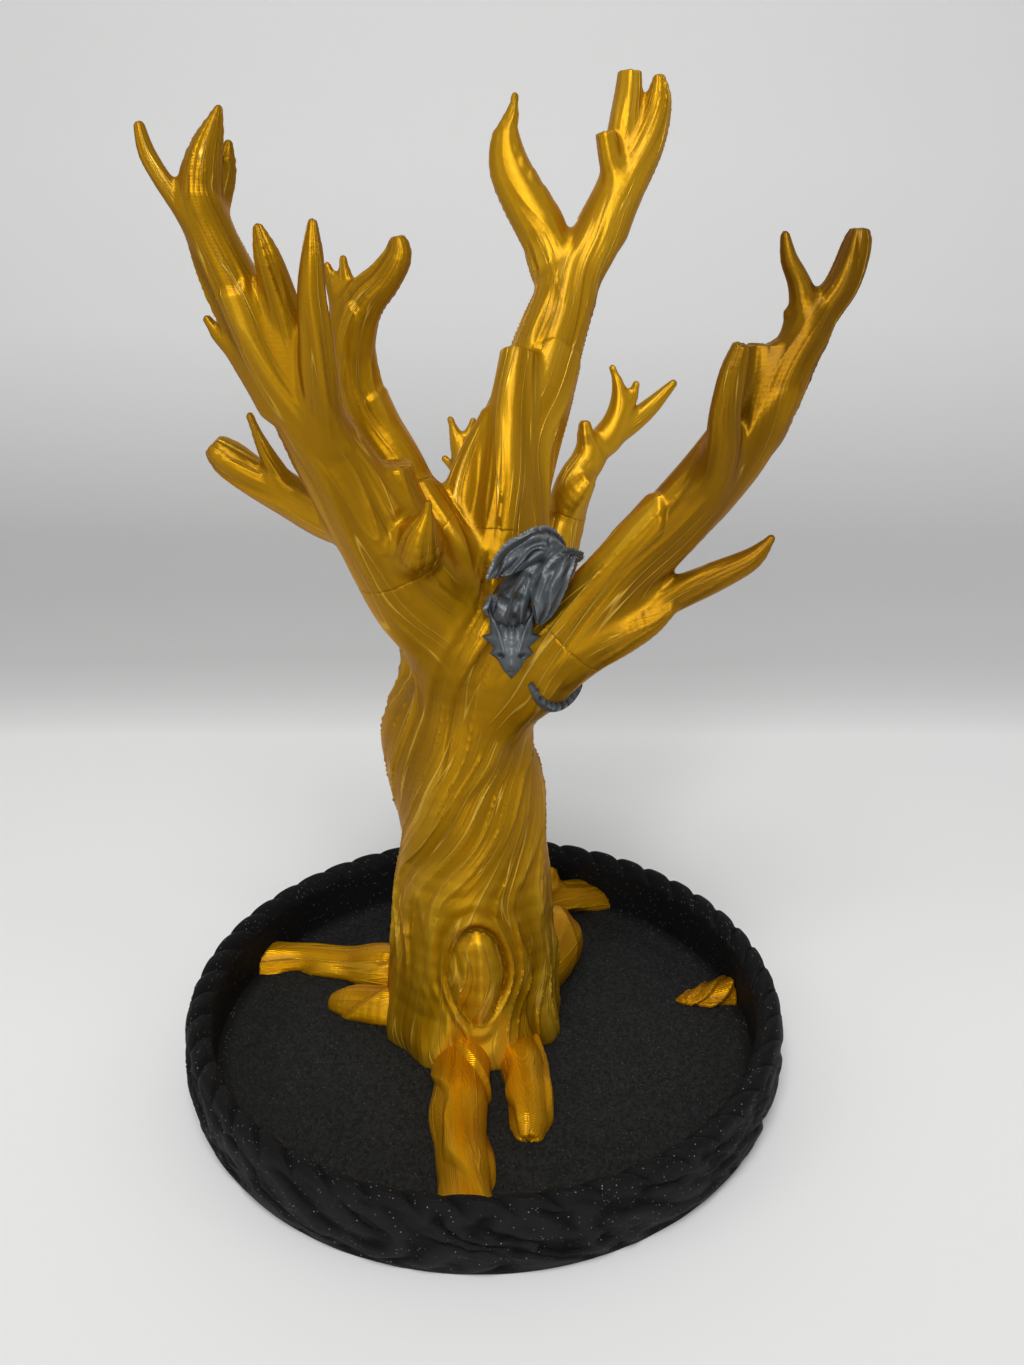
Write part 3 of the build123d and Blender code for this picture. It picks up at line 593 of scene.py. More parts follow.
class Board:
    """A node tree with one method that adds a node, its settings and its inputs."""

    def __init__(self, tree):
        self.tree = tree

    def node(self, kind, settings=None, values=None, output=0):
        node = self.tree.nodes.new(kind)
        for name, value in (settings or {}).items():
            if name == "stops":
                while len(node.color_ramp.elements) < len(value):
                    node.color_ramp.elements.new(0.5)
                for element, (place, colour) in zip(node.color_ramp.elements, value):
                    element.position, element.color = place, (*colour, 1)
            elif name == "curve":
                line = node.mapping.curves[0]
                while len(line.points) < len(value):
                    line.points.new(0.5, 0.5)
                for point, (place, height, handle) in zip(line.points, value):
                    point.location, point.handle_type = (place, height), handle
                node.mapping.update()
            else:
                setattr(node, name, value)
        self.fill(node, values or {})
        return Wire(self, node.outputs[output])

    def fill(self, node, values):
        """Set or link the inputs of a node."""
        for name, value in values.items():
            if isinstance(value, Wire):
                self.tree.links.new(value.socket, node.inputs[name])
            else:
                node.inputs[name].default_value = value

    def mix(self, share, first, second):
        """Mix two colours by a share from 0 to 1."""
        return self.node("ShaderNodeMix", {"data_type": "RGBA"},
                         {"Factor": share, 6: as_colour(first), 7: as_colour(second)}, 2)

    def tones(self, level, stops):
        """Colour at a level from 0 to 1 on a ramp."""
        return self.node("ShaderNodeValToRGB", {"stops": stops}, {"Fac": level}, "Color")

    def noise(self, place, scale, detail=2.0, roughness=0.5):
        return self.node("ShaderNodeTexNoise", None,
                         {"Vector": place, "Scale": scale, "Detail": detail, "Roughness": roughness})

    def attribute(self, name, output="Fac"):
        return self.node("ShaderNodeAttribute", {"attribute_name": name}, None, output)

    def place(self):
        """Place on the object, in metres from its origin."""
        return self.node("ShaderNodeTexCoord", None, None, "Object")

    def parts(self, vector):
        """The three components of a vector."""
        node = self.node("ShaderNodeSeparateXYZ", None, {0: vector})
        return [Wire(self, socket) for socket in node.socket.node.outputs]

    def vector(self, x, y, z):
        return self.node("ShaderNodeCombineXYZ", None, {"X": x, "Y": y, "Z": z})

    def stretched(self, vector, scale):
        return self.node("ShaderNodeVectorMath", {"operation": "MULTIPLY"}, {0: vector, 1: scale})

    def bump(self, height):
        """Normal of a surface raised by a height in millimetres."""
        return self.node("ShaderNodeBump", None, {"Strength": 1.0, "Distance": MM, "Height": height})


def as_colour(value):
    return value if isinstance(value, Wire) else (*value, 1)


def new_finish(name, metallic, roughness, coat=0.0, coat_roughness=0.1):
    """A material, its board, and its shader with plain values set."""
    material = bpy.data.materials.new(name)
    material.use_nodes = True
    board = Board(material.node_tree)
    shader = next(n for n in material.node_tree.nodes if n.type == "BSDF_PRINCIPLED")
    board.fill(shader, {"Metallic": metallic, "Roughness": roughness, "Coat Weight": coat,
                        "Coat Roughness": coat_roughness})
    return material, board, shader


PRINT_LAYER = 0.24 * MM
RASTER = 0.45 * MM


def ribs(place, pitch):
    """Round ribs, one for each pitch."""
    return (place * (2 * math.pi / pitch)).wave()


def silk_wood(name, groove, body, crest_highlight, shine, rib):
    """Silky printed wood: painted shade in grooves, painted highlights on crests and along thin lines of its
    grain.

    Painted light and shade too: paler at the foot and on the limbs behind, darker at the top and on the
    right.
    """
    material, board, shader = new_finish(name, 0.66, 0.34, coat=0.07, coat_roughness=0.3)
    place, relief, clear = board.place(), board.attribute("relief"), board.attribute("clear")
    grain = board.attribute("grain", "Vector")
    # Streaks along the grain: painted sheen in the colour; their roughness and bump are real.
    streaks = (board.noise(board.stretched(grain, (0.35, 0.35, 0.2)), 1.0) - 0.5) * clear
    # Thin lines along the grain: painted highlights, mixed toward the shine colour, over a small real bump.
    edges = abs(board.noise(board.stretched(grain, (0.3, 0.3, 0.11)), 1.0, 1.0) - 0.5)
    lines = edges.ramp(0.016, 0.0) * clear
    cloud = board.noise(place, 30.0)
    x, y, z = board.parts(place)
    # Where painted light and shade fall: low is the foot, high the top, right the right side, back the limbs
    # behind.
    low, high, right = z.ramp(0.10, 0.02), z.ramp(0.13, 0.22), x.ramp(0.01, 0.06)
    back = y.ramp(0.002, 0.022) * z.ramp(0.11, 0.15)
    # Painted light and shade: relief darkens grooves and lightens crests, the foot and limbs behind are
    # lighter, the top and right darker; cloud is random tone.
    level = (relief * 0.27 + 0.42 + low * 0.24 - high * 0.1 + back * 0.26 - right * (1 - back) * 0.3
             + streaks * 0.6 + (cloud - 0.5) * 0.2)
    colour = board.tones(level, [(0.0, groove), (0.5, body), (1.0, crest_highlight)])
    board.fill(shader, {
        "Specular Tint": (*shine, 1),
        "Base Color": board.mix(lines * 0.45, colour, shine),
        "Roughness": streaks * 0.14 + cloud * 0.1 + 0.27,
        "Normal": board.bump(lines * 0.15 + streaks * 0.5 + rib * ribs(z, PRINT_LAYER)),
    })
    return material


def silk_slate(name):
    """Silky slate grey print of the dragon, with painted shade in its grooves and painted highlights on its
    ridges.
    """
    material, board, shader = new_finish(name, 0.3, 0.3, coat=0.3, coat_roughness=0.2)
    place = board.place()
    cloud = board.noise(place, 120.0)
    # The relief sets painted shade in grooves and painted highlights on ridges; the cloud is random tone.
    stops = [(0.0, (0.012, 0.015, 0.019)), (0.5, (0.075, 0.088, 0.098)), (1.0, (0.19, 0.215, 0.235))]
    board.fill(shader, {
        "Base Color": board.tones(board.attribute("relief") * 0.7 + 0.45 + (cloud - 0.5) * 0.2, stops),
        "Roughness": cloud * 0.2 + 0.26,
        "Normal": board.bump(cloud * 0.05 + 0.02 * ribs(board.parts(place)[2], PRINT_LAYER)),
    })
    return material


def black_print(name):
    """Matte black print: pale specks, layers and painted shade on the walls, raster lines on the floor."""
    material, board, shader = new_finish(name, 0.0, 0.62)
    place = board.place()
    x, y, z = board.parts(place)
    up = board.parts(board.node("ShaderNodeNewGeometry", None, None, "Normal"))[2]
    level = up.ramp(0.85, 0.97) * z.ramp(0.006, 0.005)
    cloud = board.noise(place, 60.0, 3.0, 0.6)
    grit = board.noise(place, 1100.0, 2.0, 0.8).ramp(0.35, 0.65, smooth=False)
    # The wall's relief sets painted shade in its valleys and painted highlights on its ridges, over random
    # cloud tone.
    raised = board.attribute("relief").ramp(-0.9, 1.0)
    wall = board.mix(raised * 0.8 + cloud * 0.35 - 0.2, (0.0006, 0.0006, 0.0008), (0.0105, 0.0105, 0.011))
    body = board.mix(level, wall, board.mix(grit, (0.0045, 0.005, 0.005), (0.0185, 0.0195, 0.0185)))
    cells, pick = (board.node("ShaderNodeTexVoronoi", None, {"Vector": place, "Scale": 2600.0}, output)
                   for output in ("Distance", "Color"))
    red = board.node("ShaderNodeSeparateColor", None, {0: pick})
    speck = cells.ramp(0.42, 0.25) * red.ramp(0.95, 0.99) * (1 - level * 0.6)
    raster = level * ribs(x, RASTER) * 0.03 + cloud * 0.08
    layers = ribs(z, PRINT_LAYER) * 0.03 * (1 - level)
    board.fill(shader, {
        "Specular IOR Level": 0.12,
        "Base Color": board.mix(speck, body, (0.22, 0.225, 0.235)),
        "Roughness": 0.62 + (cloud - 0.5) * 0.2 - speck * 0.3,
        "Normal": board.bump(raster + layers),
    })
    return material


# Wood colours: painted shade in the grooves, the body, painted highlight on the crests, and shine as
# specular tint and painted highlight lines.
GOLD = silk_wood("old_gold_silk", (0.16, 0.07, 0.0005), (0.40, 0.195, 0.002), (0.64, 0.36, 0.018),
                 (0.88, 0.57, 0.09), 0.014)
AMBER = silk_wood("amber_gold_silk", (0.18, 0.06, 0.0005), (0.44, 0.19, 0.001), (0.68, 0.34, 0.006),
                  (0.9, 0.52, 0.03), 0.03)
SLATE = silk_slate("slate_silk")
BLACK = black_print("black_matte_print")


def place_piece(name, mesh, material, node):
    """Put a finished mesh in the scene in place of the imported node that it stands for."""
    piece = bpy.data.objects.new(name, mesh)
    bpy.context.scene.collection.objects.link(piece)
    mesh.materials.clear()
    mesh.materials.append(material)
    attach(piece, "root")
    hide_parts(node)

# Tree

BARK_RING = 20.0
TOP_SINK = 0.4

trunk = Run(TRUNK)
boughs = {name: Run(bough, seed=i + 1) for i, (name, (bough, twigs)) in enumerate(LIMBS.items())}
twigs = {name: [Run(twig, seed=10 * (n + 1) + i) for i, twig in enumerate(LIMBS[name][1])]
         for n, name in enumerate(LIMBS)}


def trunk_turn(along):
    """Bark angle on the trunk: upright at the foot, then winding to the right as it climbs."""
    pace = 2.0
    heights = np.arange(0, 170, pace)
    rate = 0.1 + 1.5 * step_up(heights, 32, 62) - 0.8 * step_up(heights, 84, 104)
    return -np.radians(np.interp(along, heights, np.cumsum(rate * pace)))


def trunk_bark(run, points, along, angle):
    """Bark of the trunk: long lines that part round the knot, over a lobed foot."""
    if run is not trunk:
        return bough_bark(run, points, along, angle)
    front = step_up(-(points[:, 1] - TRUNK[0][1]), 2, 10)
    across = points[:, 0] - KNOT_AT[0]
    rise = points[:, 2] - FLOOR - KNOT_AT[1]
    narrow = 1 - 0.22 * step_up(-rise, 0, KNOT_TALL / 2)
    ring = np.sqrt((across / (KNOT_WIDTH / 2 * narrow)) ** 2 + (rise / (KNOT_TALL / 2)) ** 2)
    near = front * step_up(-ring, -4.5, -1.2)
    bent = np.where(ring > 1, -across / np.maximum(ring, 1) ** 2, 14.0 - across * 0.2)
    slow = wander_noise(along * 0.03, 0, 0)
    turned = angle + trunk_turn(along) + bent * near / BARK_RING + 0.35 * slow
    x, y = BARK_RING * np.cos(turned), BARK_RING * np.sin(turned)
    broad = broad_noise(x * 0.1, y * 0.1, along * 0.016)
    phase = 1.3 * fold_noise(x * 0.08, y * 0.08, along * 0.016)
    strength = step_up(fold_noise(x * 0.08, y * 0.08 + 6, along * 0.022), -0.4, 0.5)
    strength = (1.25 + 0.4 * step_up(-along, -45, -10)) * strength
    crests = crease(crest_noise(x * 0.13, y * 0.13, along * 0.013 + 5), 0.035)
    fine = fine_noise(x * 0.4, y * 0.4, along * 0.03)
    height = 1.1 * broad + strength * strips(turned, phase, 11) + 0.6 * crests + 0.06 * fine
    lobes = np.cos(9 * angle + 1.3 * wander_noise(angle * 1.5, along * 0.05, 0))
    height += lobes * step_up(-along, -28, 0)
    open_below = 1 - 0.85 * step_up(-rise, 3, 11)
    groove = np.exp(-((ring - 1) / 0.15) ** 2) * (0.4 + 0.6 * step_up(across + 0.5 * rise, -4, 6))
    dome = np.where(ring < 1, 1 - ring ** 2, 0)
    outside = np.maximum(ring - 1, 0)
    rings = np.cos(2 * math.pi * outside / 0.42) * np.exp(-outside / 0.45) * step_up(outside, 0.0, 0.12)
    height *= 1 - 0.5 * front * np.exp(-(outside / 0.25) ** 2)
    inner = 0.5 * broad_noise(across * 0.3, rise * 0.04, 3) * step_up(-ring, -0.95, -0.75)
    knot = -1.35 * groove * open_below + 0.8 * dome - 0.6 * rings * (0.4 + 0.6 * open_below) + inner
    return height + front * knot, np.stack([x, y, 0.12 * along], axis=1)


TREE_DENTS = [(-20, 3, 106, 8.5, -6.0), (-24, 4, 88, 9, 1.4), (17, 2, 105, 7, -1.2), (-15, -13, 3, 8, 2.4),
              (-24, -4, 3, 7, 1.2), (11, -11, 3, 8, 2.0), (19, 0, 3, 7, 1.4), (-4, -12, 100, 8, -0.8)]


def tree_form(points):
    """Broad dents and swellings of the trunk: place, reach and depth."""
    swell = np.zeros(len(points))
    for x, y, z, reach, raised in TREE_DENTS:
        away = (points[:, 0] - x) ** 2 + (points[:, 1] - y) ** 2 + (points[:, 2] - FLOOR - z) ** 2
        swell += raised * np.exp(-away / reach ** 2)
    return swell


def tree_fields(block):
    """Fields of the trunk and of each limb by itself, and of the whole tree with its forks filled."""
    fields = {name: block.empty() for name in ("trunk", *boughs)}
    whole = fields["trunk"]
    block.lay(whole, trunk)
    for name, bough in boughs.items():
        block.lay(fields[name], bough)
        for twig in twigs[name]:
            block.lay(fields[name], twig, min(TWIG_FILLET, 0.6 * float(twig.radius[0])))
        whole = join(whole, fields[name], FORK_FILLET)
    return fields, whole


def carve_tree(name):
    """The trunk or one limb, cut from the whole tree at the limbs' seats.

    The trunk's block is wide enough for the stubs of the limbs, and it laps a little under each limb.
    """
    if name == "trunk":
        block = Block([trunk], TRUNK_GRID, margin=14)
    else:
        block = Block([boughs[name], *twigs[name]], LIMB_GRID, margin=3)
    fields, whole = tree_fields(block)
    gap = whole
    for limb, bough in boughs.items():
        others = np.min([field for other, field in fields.items() if other != limb], axis=0)
        claim = np.maximum(fields[limb] - others, -block.past(*bough.seat(LIMB_SEAT)))
        if name == limb:
            gap = np.maximum(gap, claim)
        elif name == "trunk":
            gap = np.maximum(gap, -claim - SEAM_LAP)
    gap = np.maximum(gap, -block.past((0, 0, FLOOR), UPRIGHT))
    gap = np.maximum(gap, block.past((0, 0, cad_high[2] / MM - TOP_SINK), UPRIGHT))
    runs = [trunk, *boughs.values(), *(run for group in twigs.values() for run in group)]
    return carve(block, gap, whole, runs, bark=trunk_bark, form=tree_form)


for name in ("trunk", *LIMBS):
    place_piece(name + "_bark", bare_mesh(name + "_bark", *carve_tree(name)), GOLD, name)


# Roots

SHORT_ROOT = 25
SPUR_FILLET = 2.0


def root_bark(run, points, along, angle):
    """Bark of a root: smoother than a limb's, with a few wide folds that wind round it."""
    height, grain = bough_bark(run, points, along, angle)
    wander = 0.7 * wander_noise(along * 0.05, run.seed, 0.4 * np.cos(angle))
    winding, count = (0.2, 5) if run.length[-1] < SHORT_ROOT else (0.035, 3)
    folds = strips(angle + winding * along, wander, count)
    swell = wander_noise(along * 0.09, 2 * run.seed, 0.3 * np.sin(angle))
    girth = np.clip(np.interp(along, run.length, run.radius) / 6, 0, 1)
    return 0.35 * height + (1.1 * folds + 0.8 * swell) * girth, grain


def carve_root(name):
    """A root, cut off at the tray's floor and wall. The one behind has a spur."""
    runs = [Run(ROOTS[name], side=UPRIGHT, turn=0.5, seed=40 + len(name))]
    if name == "root_back":
        runs.append(Run(ROOT_SPUR, side=UPRIGHT, turn=0.5, seed=50))
    block = Block(runs, ROOT_GRID)
    whole = block.empty()
    for run in runs:
        block.lay(whole, run, SPUR_FILLET)
    x, y = block.axes()[:2]
    gap = np.maximum(whole, np.sqrt(x * x + y * y) - (well_radius - WALL_GAP))
    gap = np.maximum(gap, -block.past((0, 0, FLOOR), UPRIGHT))
    return carve(block, gap, whole, runs, bark=root_bark)


for name in ROOTS:
    place_piece(name + "_bark", bare_mesh(name + "_bark", *carve_root(name)), AMBER, name)


# Dragon

def head_front(across, high):
    """How far the dragon's head stands out at spots on its flat outline, and their distance past it."""
    right = [(HEAD_HALF_WIDTH * x, HEAD_LENGTH * y) for x, y in HEAD_OUTLINE]
    outline = np.array(right + [(-x, y) for x, y in reversed(right[1:-1])])
    edge = np.full(across.shape, 1e3)
    inside = np.zeros(across.shape, bool)
    for (ax, ay), (bx, by) in zip(outline, np.roll(outline, -1, axis=0)):
        dx, dy = bx - ax, by - ay
        t = np.clip(((across - ax) * dx + (high - ay) * dy) / (dx * dx + dy * dy), 0, 1)
        edge = np.minimum(edge, np.hypot(across - ax - t * dx, high - ay - t * dy))
        crossing = (ay > high) != (by > high)
        inside ^= crossing & (across < ax + (high - ay) * dx / (dy if dy else 1e-9))
    edge = np.where(inside, -edge, edge)
    share = high / HEAD_LENGTH
    lift = 1.1 + 0.75 * np.clip(-edge, 0, 3) ** 0.8
    lift += 0.5 * np.exp(-(across / 0.8) ** 2) * step_up(share, 0.08, 0.25) * (1 + 0.5 * np.sin(high * 2.6))
    brow = np.abs(np.abs(across) - 0.2 * HEAD_HALF_WIDTH - 4.4 * (share - 0.3))
    lift += 0.75 * np.exp(-(brow / 0.45) ** 2) * step_up(share, 0.28, 0.36) * step_up(-share, -0.98, -0.7)
    eye = np.hypot((np.abs(across) - 0.33 * HEAD_HALF_WIDTH) / 0.8, (high - 0.33 * HEAD_LENGTH) / 0.5)
    nose = np.hypot(np.abs(across) - 0.45, high - 0.09 * HEAD_LENGTH)
    return lift - np.exp(-eye ** 2) - 0.35 * np.exp(-(nose / 0.3) ** 2), edge


def carve_head():
    """Flat arrow-shaped head with horns, brows and a ridged snout, as points, faces and relief."""
    tilt, margin = math.radians(HEAD_TILT), 0.8
    low = np.array((-HEAD_HALF_WIDTH, 0, -0.6)) - margin
    size = np.ceil((np.array((HEAD_HALF_WIDTH, HEAD_LENGTH, 4.2)) + margin - low) / HEAD_GRID).astype(int)
    across, high, lift = (low[k] + HEAD_GRID * np.arange(n) for k, n in enumerate(size))
    front, edge = head_front(*np.meshgrid(across, high, indexing="ij"))
    gap = meet(edge[:, :, None] + 0.12 * (lift - 1), lift - front[:, :, None], 0.3)
    points, quads = skinned(np.maximum(gap, -0.4 - lift), HEAD_GRID, low)
    ways = [(1, 0, 0), (0, math.sin(tilt), math.cos(tilt)), (0, -math.cos(tilt), math.sin(tilt))]
    relief = points[:, 2] - np.interp(points[:, 1], (0, HEAD_LENGTH), (1.9, 2.6))
    return points @ ways + DRAGON_SNOUT + (0, 0, FLOOR), quads, relief


def spike(base, tip, wide):
    """Centres and radii of a spike that narrows to a point."""
    share = np.linspace(0, 1, 5)
    return base + (tip - base) * share[:, None], wide + (0.15 - wide) * share


def carve_dragon():
    """The curled body: a ridged back, a ridged haunch before it, a smooth neck with spikes, and the head."""
    back = Run(DRAGON_BACK, step=0.9)
    # Belly and chest are dark fills put behind the neck where there is deep shade.
    haunch, neck, belly_shade_fill, chest_shade_fill = (Run(line, step=0.8) for line in (
        DRAGON_HAUNCH, DRAGON_NECK, DRAGON_BELLY_SHADE_FILL, DRAGON_CHEST_SHADE_FILL))
    runs = [back, haunch, neck, belly_shade_fill, chest_shade_fill]
    block = Block(runs, DRAGON_GRID, margin=4)
    whole = block.empty()
    for run, blend in ((back, 0.1), (belly_shade_fill, 0.6), (chest_shade_fill, 0.6), (neck, 0.3), (haunch, 0.15)):
        block.lay(whole, run, blend)
    spikes = []
    outward = np.array((-0.05, -0.75, 0.55))
    for share, tall in ((0.2, 1.6), (0.5, 2.4), (0.8, 2.4)):
        i = int(share * (len(neck.at) - 1))
        at, radius = neck.at[i], neck.radius[i]
        spikes.append((at + outward * radius * 0.5, at + outward * (radius * 0.8 + tall) + (0, 0, 0.8), 1.1))
    claw = np.array((2.4, -16.6, 130.6))
    for x, z in ((-1.5, 0.4), (-0.9, -1.2), (0.4, -1.9)):
        spikes.append((claw + (0.6, 1.6, 2.2), claw + (x, -0.3, z), 1.2))
    for base, tip, wide in spikes:
        span, gap = block.tube(*spike(base, tip, wide))
        whole[span] = join(whole[span], gap, 0.3)
    ridges = {back: (8, 0.75), haunch: (7, 0.55)}

    def scales(run, points, along, angle):
        """Ridges on the back and the haunch. The other runs are smooth, lie deeper and are painted darker as
        shade.
        """
        # Smooth runs sink a little, and their low relief paints them darker as shade.
        if run not in ridges:
            return 0 * along - 0.4, points
        count, depth = ridges[run]
        wobble = 0.5 * wander_noise(along * 0.16, np.cos(angle) * 1.6, np.sin(angle) * 1.6)
        ridge = 1 - 2 * np.abs(np.sin((angle + 0.05 * along + wobble) * count / 2)) ** 0.7
        return depth * ridge * (0.7 + 0.5 * broad_noise(along * 0.2, angle, 0)), points

    points, quads, marks = carve(block, whole, whole, runs, bark=scales)
    head, head_quads, lift = carve_head()
    # Relief for the painted shade and highlights of the slate: the body's ridges, and the head's height
    # above its plate.
    relief = np.concatenate([marks["relief"] * 1.4, lift * 0.35 - 0.08])
    return np.vstack([points, head]), np.vstack([quads, head_quads + len(points)]), {"relief": relief}


def tail_band():
    """Thick band of the tail round the right limb, with a jagged upper edge and tapering ends."""
    near, far = (np.array(p[:3]) + (0, 0, FLOOR) for p in RIGHT_BOUGH[1:3])
    middle = near + (far - near) * TAIL_ALONG
    along = (far - near) / np.linalg.norm(far - near)
    under = np.array((0, 0, -1.0)) + along * along[2]
    under /= np.linalg.norm(under)
    steps, teeth = 320, 19
    share = np.linspace(0, 1, steps + 1)
    turn = np.radians(TAIL_START + TAIL_SWEEP * share)[:, None]
    out = np.cos(turn) * under + np.sin(turn) * np.cross(along, under)
    taper = np.minimum(1, (0.02 + np.minimum(share * 1.6, 1 - share)) * 7) ** 0.5
    sag = -2.6 * np.sin(np.pi * np.clip(share / 0.5, 0, 1)) ** 1.2 + 0.9 * step_up(share, 0.35, 0.6)
    jag = 1.3 * taper * (0.7 * ((share * teeth) % 1) + 0.3 * np.sin(share * 47) ** 2)
    jag *= step_up(share, 0.02, 0.08)
    half = (0.8 + 0.75 * np.exp(-((share - 0.2) / 0.2) ** 2)) * taper
    section = [(-1.0, -1.1, 0), (-1.08, 0.4, 0), (-0.75, 1.0, 0), (-0.2, 1.3, 0), (0.25, 1.3, 0),
               (0.6, 1.1, -0.7), (0.95, 0.9, -1), (1.0, 0.3, -1), (1.0, -1.1, -1)]
    rings = [middle + out * (TAIL_RING + 0.5 + lift * TAIL_THICK / 2)
             + along * (sag + across * half + cut * jag)[:, None] for across, lift, cut in section]
    points = np.stack(rings, axis=1).reshape(-1, 3)
    n = len(section)
    faces = [(i * n + k, (i + 1) * n + k, (i + 1) * n + (k + 1) % n, i * n + (k + 1) % n)
             for i in range(steps) for k in range(n)]
    faces += [tuple(range(n)), tuple(reversed(range(steps * n, steps * n + n)))]
    return points, faces, {"relief": np.zeros(len(points))}


place_piece("dragon_body", bare_mesh("dragon_body", *carve_dragon()), SLATE, "dragon")
place_piece("tail_band", bare_mesh("tail_band", *tail_band()), SLATE, "dragon_tail")


# Tray

def tray_form():
    """Geometry Nodes tree that revolves the tray's wall and gives it slanted lumps and a flowing relief."""
    tree = bpy.data.node_groups.new("tray_form", "GeometryNodeTree")
    tree.interface.new_socket("Geometry", in_out="OUTPUT", socket_type="NodeSocketGeometry")
    sizes = {"Radius": TRAY_RADIUS, "Height": TRAY_HEIGHT, "Lumps": LUMPS, "Lump Height": 1.3 * LUMP_HEIGHT,
             "Lump Slant": LUMP_SLANT, "Relief": 1.25}
    for name in sizes:
        tree.interface.new_socket(name, in_out="INPUT", socket_type="NodeSocketFloat")
    tree.interface.new_socket("Material", in_out="INPUT", socket_type="NodeSocketMaterial")
    board = Board(tree)
    entry = tree.nodes.new("NodeGroupInput")
    size = {name: Wire(board, entry.outputs[name]) for name in (*sizes, "Material")}
    u, v, flat = board.parts(board.node("GeometryNodeInputPosition"))
    angle, share = (u + 0.5) * (2 * math.pi), v + 0.5
    foot, inner = TRAY_RADIUS - TRAY_FOOT_IN, well_radius
    line = [(0, 0, 0, "VECTOR"), (0.04, foot - 0.5, 0, "VECTOR"), (0.06, foot, 0.2, "VECTOR"),
            (0.16, 78.8, 4, "AUTO"), (0.3, 79.6, 9, "AUTO"), (0.42, 79.7, BULGE_HEIGHT + 1, "AUTO"),
            (0.54, 79.2, 17, "AUTO"), (0.62, 78.4, 19.4, "AUTO"), (0.7, 76.9, 20.6, "AUTO"),
            (0.78, 75.0, 20.4, "AUTO"), (0.85, 73.4, 19.0, "AUTO"), (0.88, inner, 17.6, "VECTOR"),
            (0.95, inner, FLOOR + 0.3, "VECTOR"), (0.965, inner - 0.4, FLOOR, "VECTOR"),
            (1, 0, FLOOR, "VECTOR")]
    reaches = [(s, r / TRAY_RADIUS, handle) for s, r, z, handle in line]
    rises = [(s, z / TRAY_HEIGHT, handle) for s, r, z, handle in line]
    reach, rise = (board.node("ShaderNodeFloatCurve", {"curve": curve}, {"Value": share}) * size[name]
                   for name, curve in (("Radius", reaches), ("Height", rises)))
    outer = share.ramp(0.05, 0.12) * share.ramp(0.66, 0.52)
    top = rise.ramp(TRAY_HEIGHT - 6, TRAY_HEIGHT - 1.5) * share.ramp(0.9, 0.86)
    slant = (size["Radius"] - reach) / WALL * size["Lump Slant"] * (math.pi / 180)
    phase = (angle + slant) * size["Lumps"]
    skewed = phase + 0.55 * phase.wave()
    lump = abs((skewed * 0.5).wave()) ** 0.7
    rise = rise + top * size["Lump Height"] * (lump - 0.95)
    winding = angle + rise * 0.012
    x, y, z = winding.cosine() * 4.6, winding.wave() * 4.6, rise * 0.1
    flow = board.noise(board.vector(x, y, z), 1.6)
    swirl = board.vector(x + flow * 1.2, y, z + flow * 1.1)
    folds = (board.noise(swirl, 0.7, 0.0) * 30.0).wave() * 0.5 + 0.5
    depth = outer * folds * (flow.ramp(0.3, 0.6) * 0.6 + 0.4)
    reach = (reach - size["Relief"] * depth) * MM
    shell = board.node("GeometryNodeMeshGrid", None,
                       {"Size X": 1.0, "Size Y": 1.0, "Vertices X": 721, "Vertices Y": 97})
    # The relief mark also sets the painted shade and highlights of the black wall.
    shell = board.node("GeometryNodeStoreNamedAttribute", {"data_type": "FLOAT", "domain": "POINT"},
                       {"Geometry": shell, "Name": "relief", "Value": outer * (1.0 - 2.0 * depth)})
    ring = board.vector(reach * angle.cosine(), reach * angle.wave(), rise * MM)
    for kind, values in (("SetPosition", {"Position": ring}), ("MergeByDistance", {"Distance": 0.02 * MM}),
                         ("SetShadeSmooth", {}), ("RealizeInstances", {}),
                         ("SetMaterial", {"Material": size["Material"]})):
        shell = board.node("GeometryNode" + kind, None, {"Geometry": shell, **values})
    tree.links.new(shell.socket, tree.nodes.new("NodeGroupOutput").inputs["Geometry"])
    return tree, sizes


def grown(name, tree, values, material):
    """Plain mesh that a Geometry Nodes tree makes with the given inputs."""
    seed = bpy.data.objects.new(name + "_form", bpy.data.meshes.new(name + "_form"))
    bpy.context.scene.collection.objects.link(seed)
    modifier = seed.modifiers.new(name, "NODES")
    modifier.node_group = tree
    named = {item.name: item.identifier for item in tree.interface.items_tree if item.in_out == "INPUT"}
    for key, value in values.items():
        modifier[named[key]] = float(value)
    modifier[named["Material"]] = material
    mesh = bpy.data.meshes.new_from_object(seed.evaluated_get(bpy.context.evaluated_depsgraph_get()))
    seed.modifiers.remove(modifier)
    bpy.data.objects.remove(seed)
    return mesh


place_piece("tray_dish", grown("tray_dish", *tray_form(), BLACK), BLACK, "tray")


# Stage, light and camera

SHEET_START = -0.3
SHEET_RUN = 1.8
# Painted shade and light along the sheet, as (place, grey) from the floor in front up to the top
SHEET_SHADE_TONES = [(-0.3, 0.63), (-0.14, 0.68), (0.0, 0.77), (0.19, 0.80), (0.205, 0.81), (0.223, 0.73),
               (0.256, 0.63), (0.30, 0.57), (0.43, 0.57), (0.57, 0.62), (0.72, 0.72), (0.86, 0.83),
               (1.01, 0.94), (1.27, 1.0), (1.5, 1.0)]


def sheet_shade_paint(name):
    """Pale backdrop with painted light and shade: greyer in front and where the sheet starts to rise, paler
    to the right.
    """
    material, board, shader = new_finish(name, 0.0, 0.9)
    place = board.place()
    x, y, z = board.parts(place)
    level = (y + z + (board.noise(place, 3.0) - 0.5) * 0.03 - SHEET_START) / SHEET_RUN
    tone = board.tones(level, [((at - SHEET_START) / SHEET_RUN, (v, v, v * 0.995)) for at, v in SHEET_SHADE_TONES])
    # Painted light: paler toward the right
    board.fill(shader, {"Base Color": board.mix(x.ramp(-0.1, 0.5) * 0.14, tone, (1, 1, 1))})
    return material


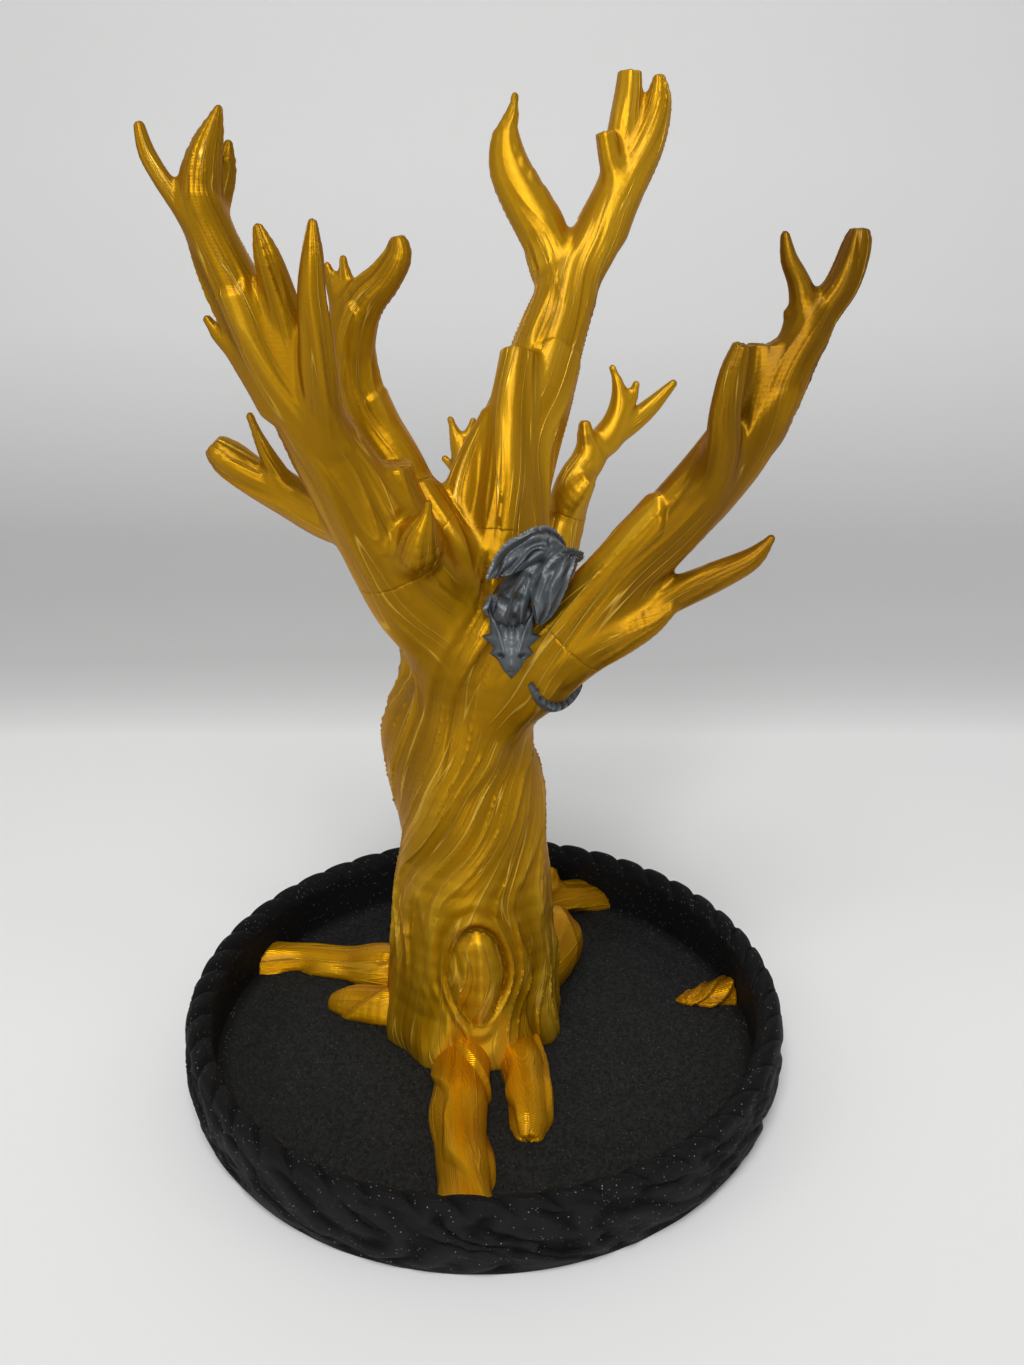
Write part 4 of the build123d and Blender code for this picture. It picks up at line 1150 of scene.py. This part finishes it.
def backdrop():
    """Floor that sweeps up into a wall, in one sheet."""
    across = np.linspace(-2.2, 2.2, 12)
    bend, sweep = 0.55, 0.5
    line = [(-1.2, 0.0), (bend, 0.0)]
    line += [(bend + sweep * math.sin(a), sweep - sweep * math.cos(a))
             for a in np.linspace(0.08, math.pi / 2, 16)]
    line += [(bend + sweep, 2.4)]
    n = len(across)
    faces = [(j * n + i, j * n + i + 1, (j + 1) * n + i + 1, (j + 1) * n + i)
             for j in range(len(line) - 1) for i in range(n - 1)]
    mesh = bpy.data.meshes.new("backdrop")
    mesh.from_pydata([(x, y, z) for y, z in line for x in across], [], faces)
    mesh.shade_smooth()
    mesh.materials.append(sheet_shade_paint("pale_paint_with_shade"))
    sheet = bpy.data.objects.new("backdrop", mesh)
    bpy.context.scene.collection.objects.link(sheet)


def soft_light(name, at, aim, size, watts):
    """Rectangular lamp in metres that faces a point."""
    lamp = bpy.data.lights.new(name, "AREA")
    lamp.shape, lamp.size, lamp.size_y, lamp.energy = "RECTANGLE", size[0], size[1], watts
    holder = bpy.data.objects.new(name, lamp)
    holder.location = at
    holder.rotation_euler = (Vector(aim) - Vector(at)).to_track_quat("-Z", "Y").to_euler()
    bpy.context.scene.collection.objects.link(holder)


backdrop()
soft_light("top_light", (-0.04, -0.52, 0.9), (0, 0, 0.08), (0.42, 0.36), 6.3)
soft_light("front_light", (-0.15, -1.0, 0.45), (0, 0, 0.08), (0.6, 0.3), 2.2)
soft_light("left_light", (-0.75, -0.4, 0.5), (0, 0, 0.12), (0.35, 0.6), 0.9)
soft_light("right_light", (0.8, -0.3, 0.5), (0, 0, 0.12), (0.3, 0.6), 0.5)

world = bpy.data.worlds.new("studio")
world.use_nodes = True
shade = world.node_tree.nodes["Background"]
shade.inputs["Color"].default_value = (0.98, 0.985, 0.985, 1)
shade.inputs["Strength"].default_value = 0.37
bpy.context.scene.world = world

# The camera looks along +Y, above the tray's front edge and tipped down
CAMERA_AT = (7.3, -260.5, 210.2)
CAMERA_DOWN = 21.6
IMAGE_HEIGHT, FOCAL_PIXELS = 1365, 1150
lens = bpy.data.cameras.new("camera")
lens.sensor_fit = "VERTICAL"
lens.lens = lens.sensor_height * FOCAL_PIXELS / IMAGE_HEIGHT
camera = bpy.data.objects.new("camera", lens)
camera.location = [v * MM for v in CAMERA_AT]
camera.rotation_euler = (math.radians(90 - CAMERA_DOWN), 0, 0)
bpy.context.scene.collection.objects.link(camera)
bpy.context.scene.camera = camera
bpy.context.scene.view_settings.view_transform = "Standard"
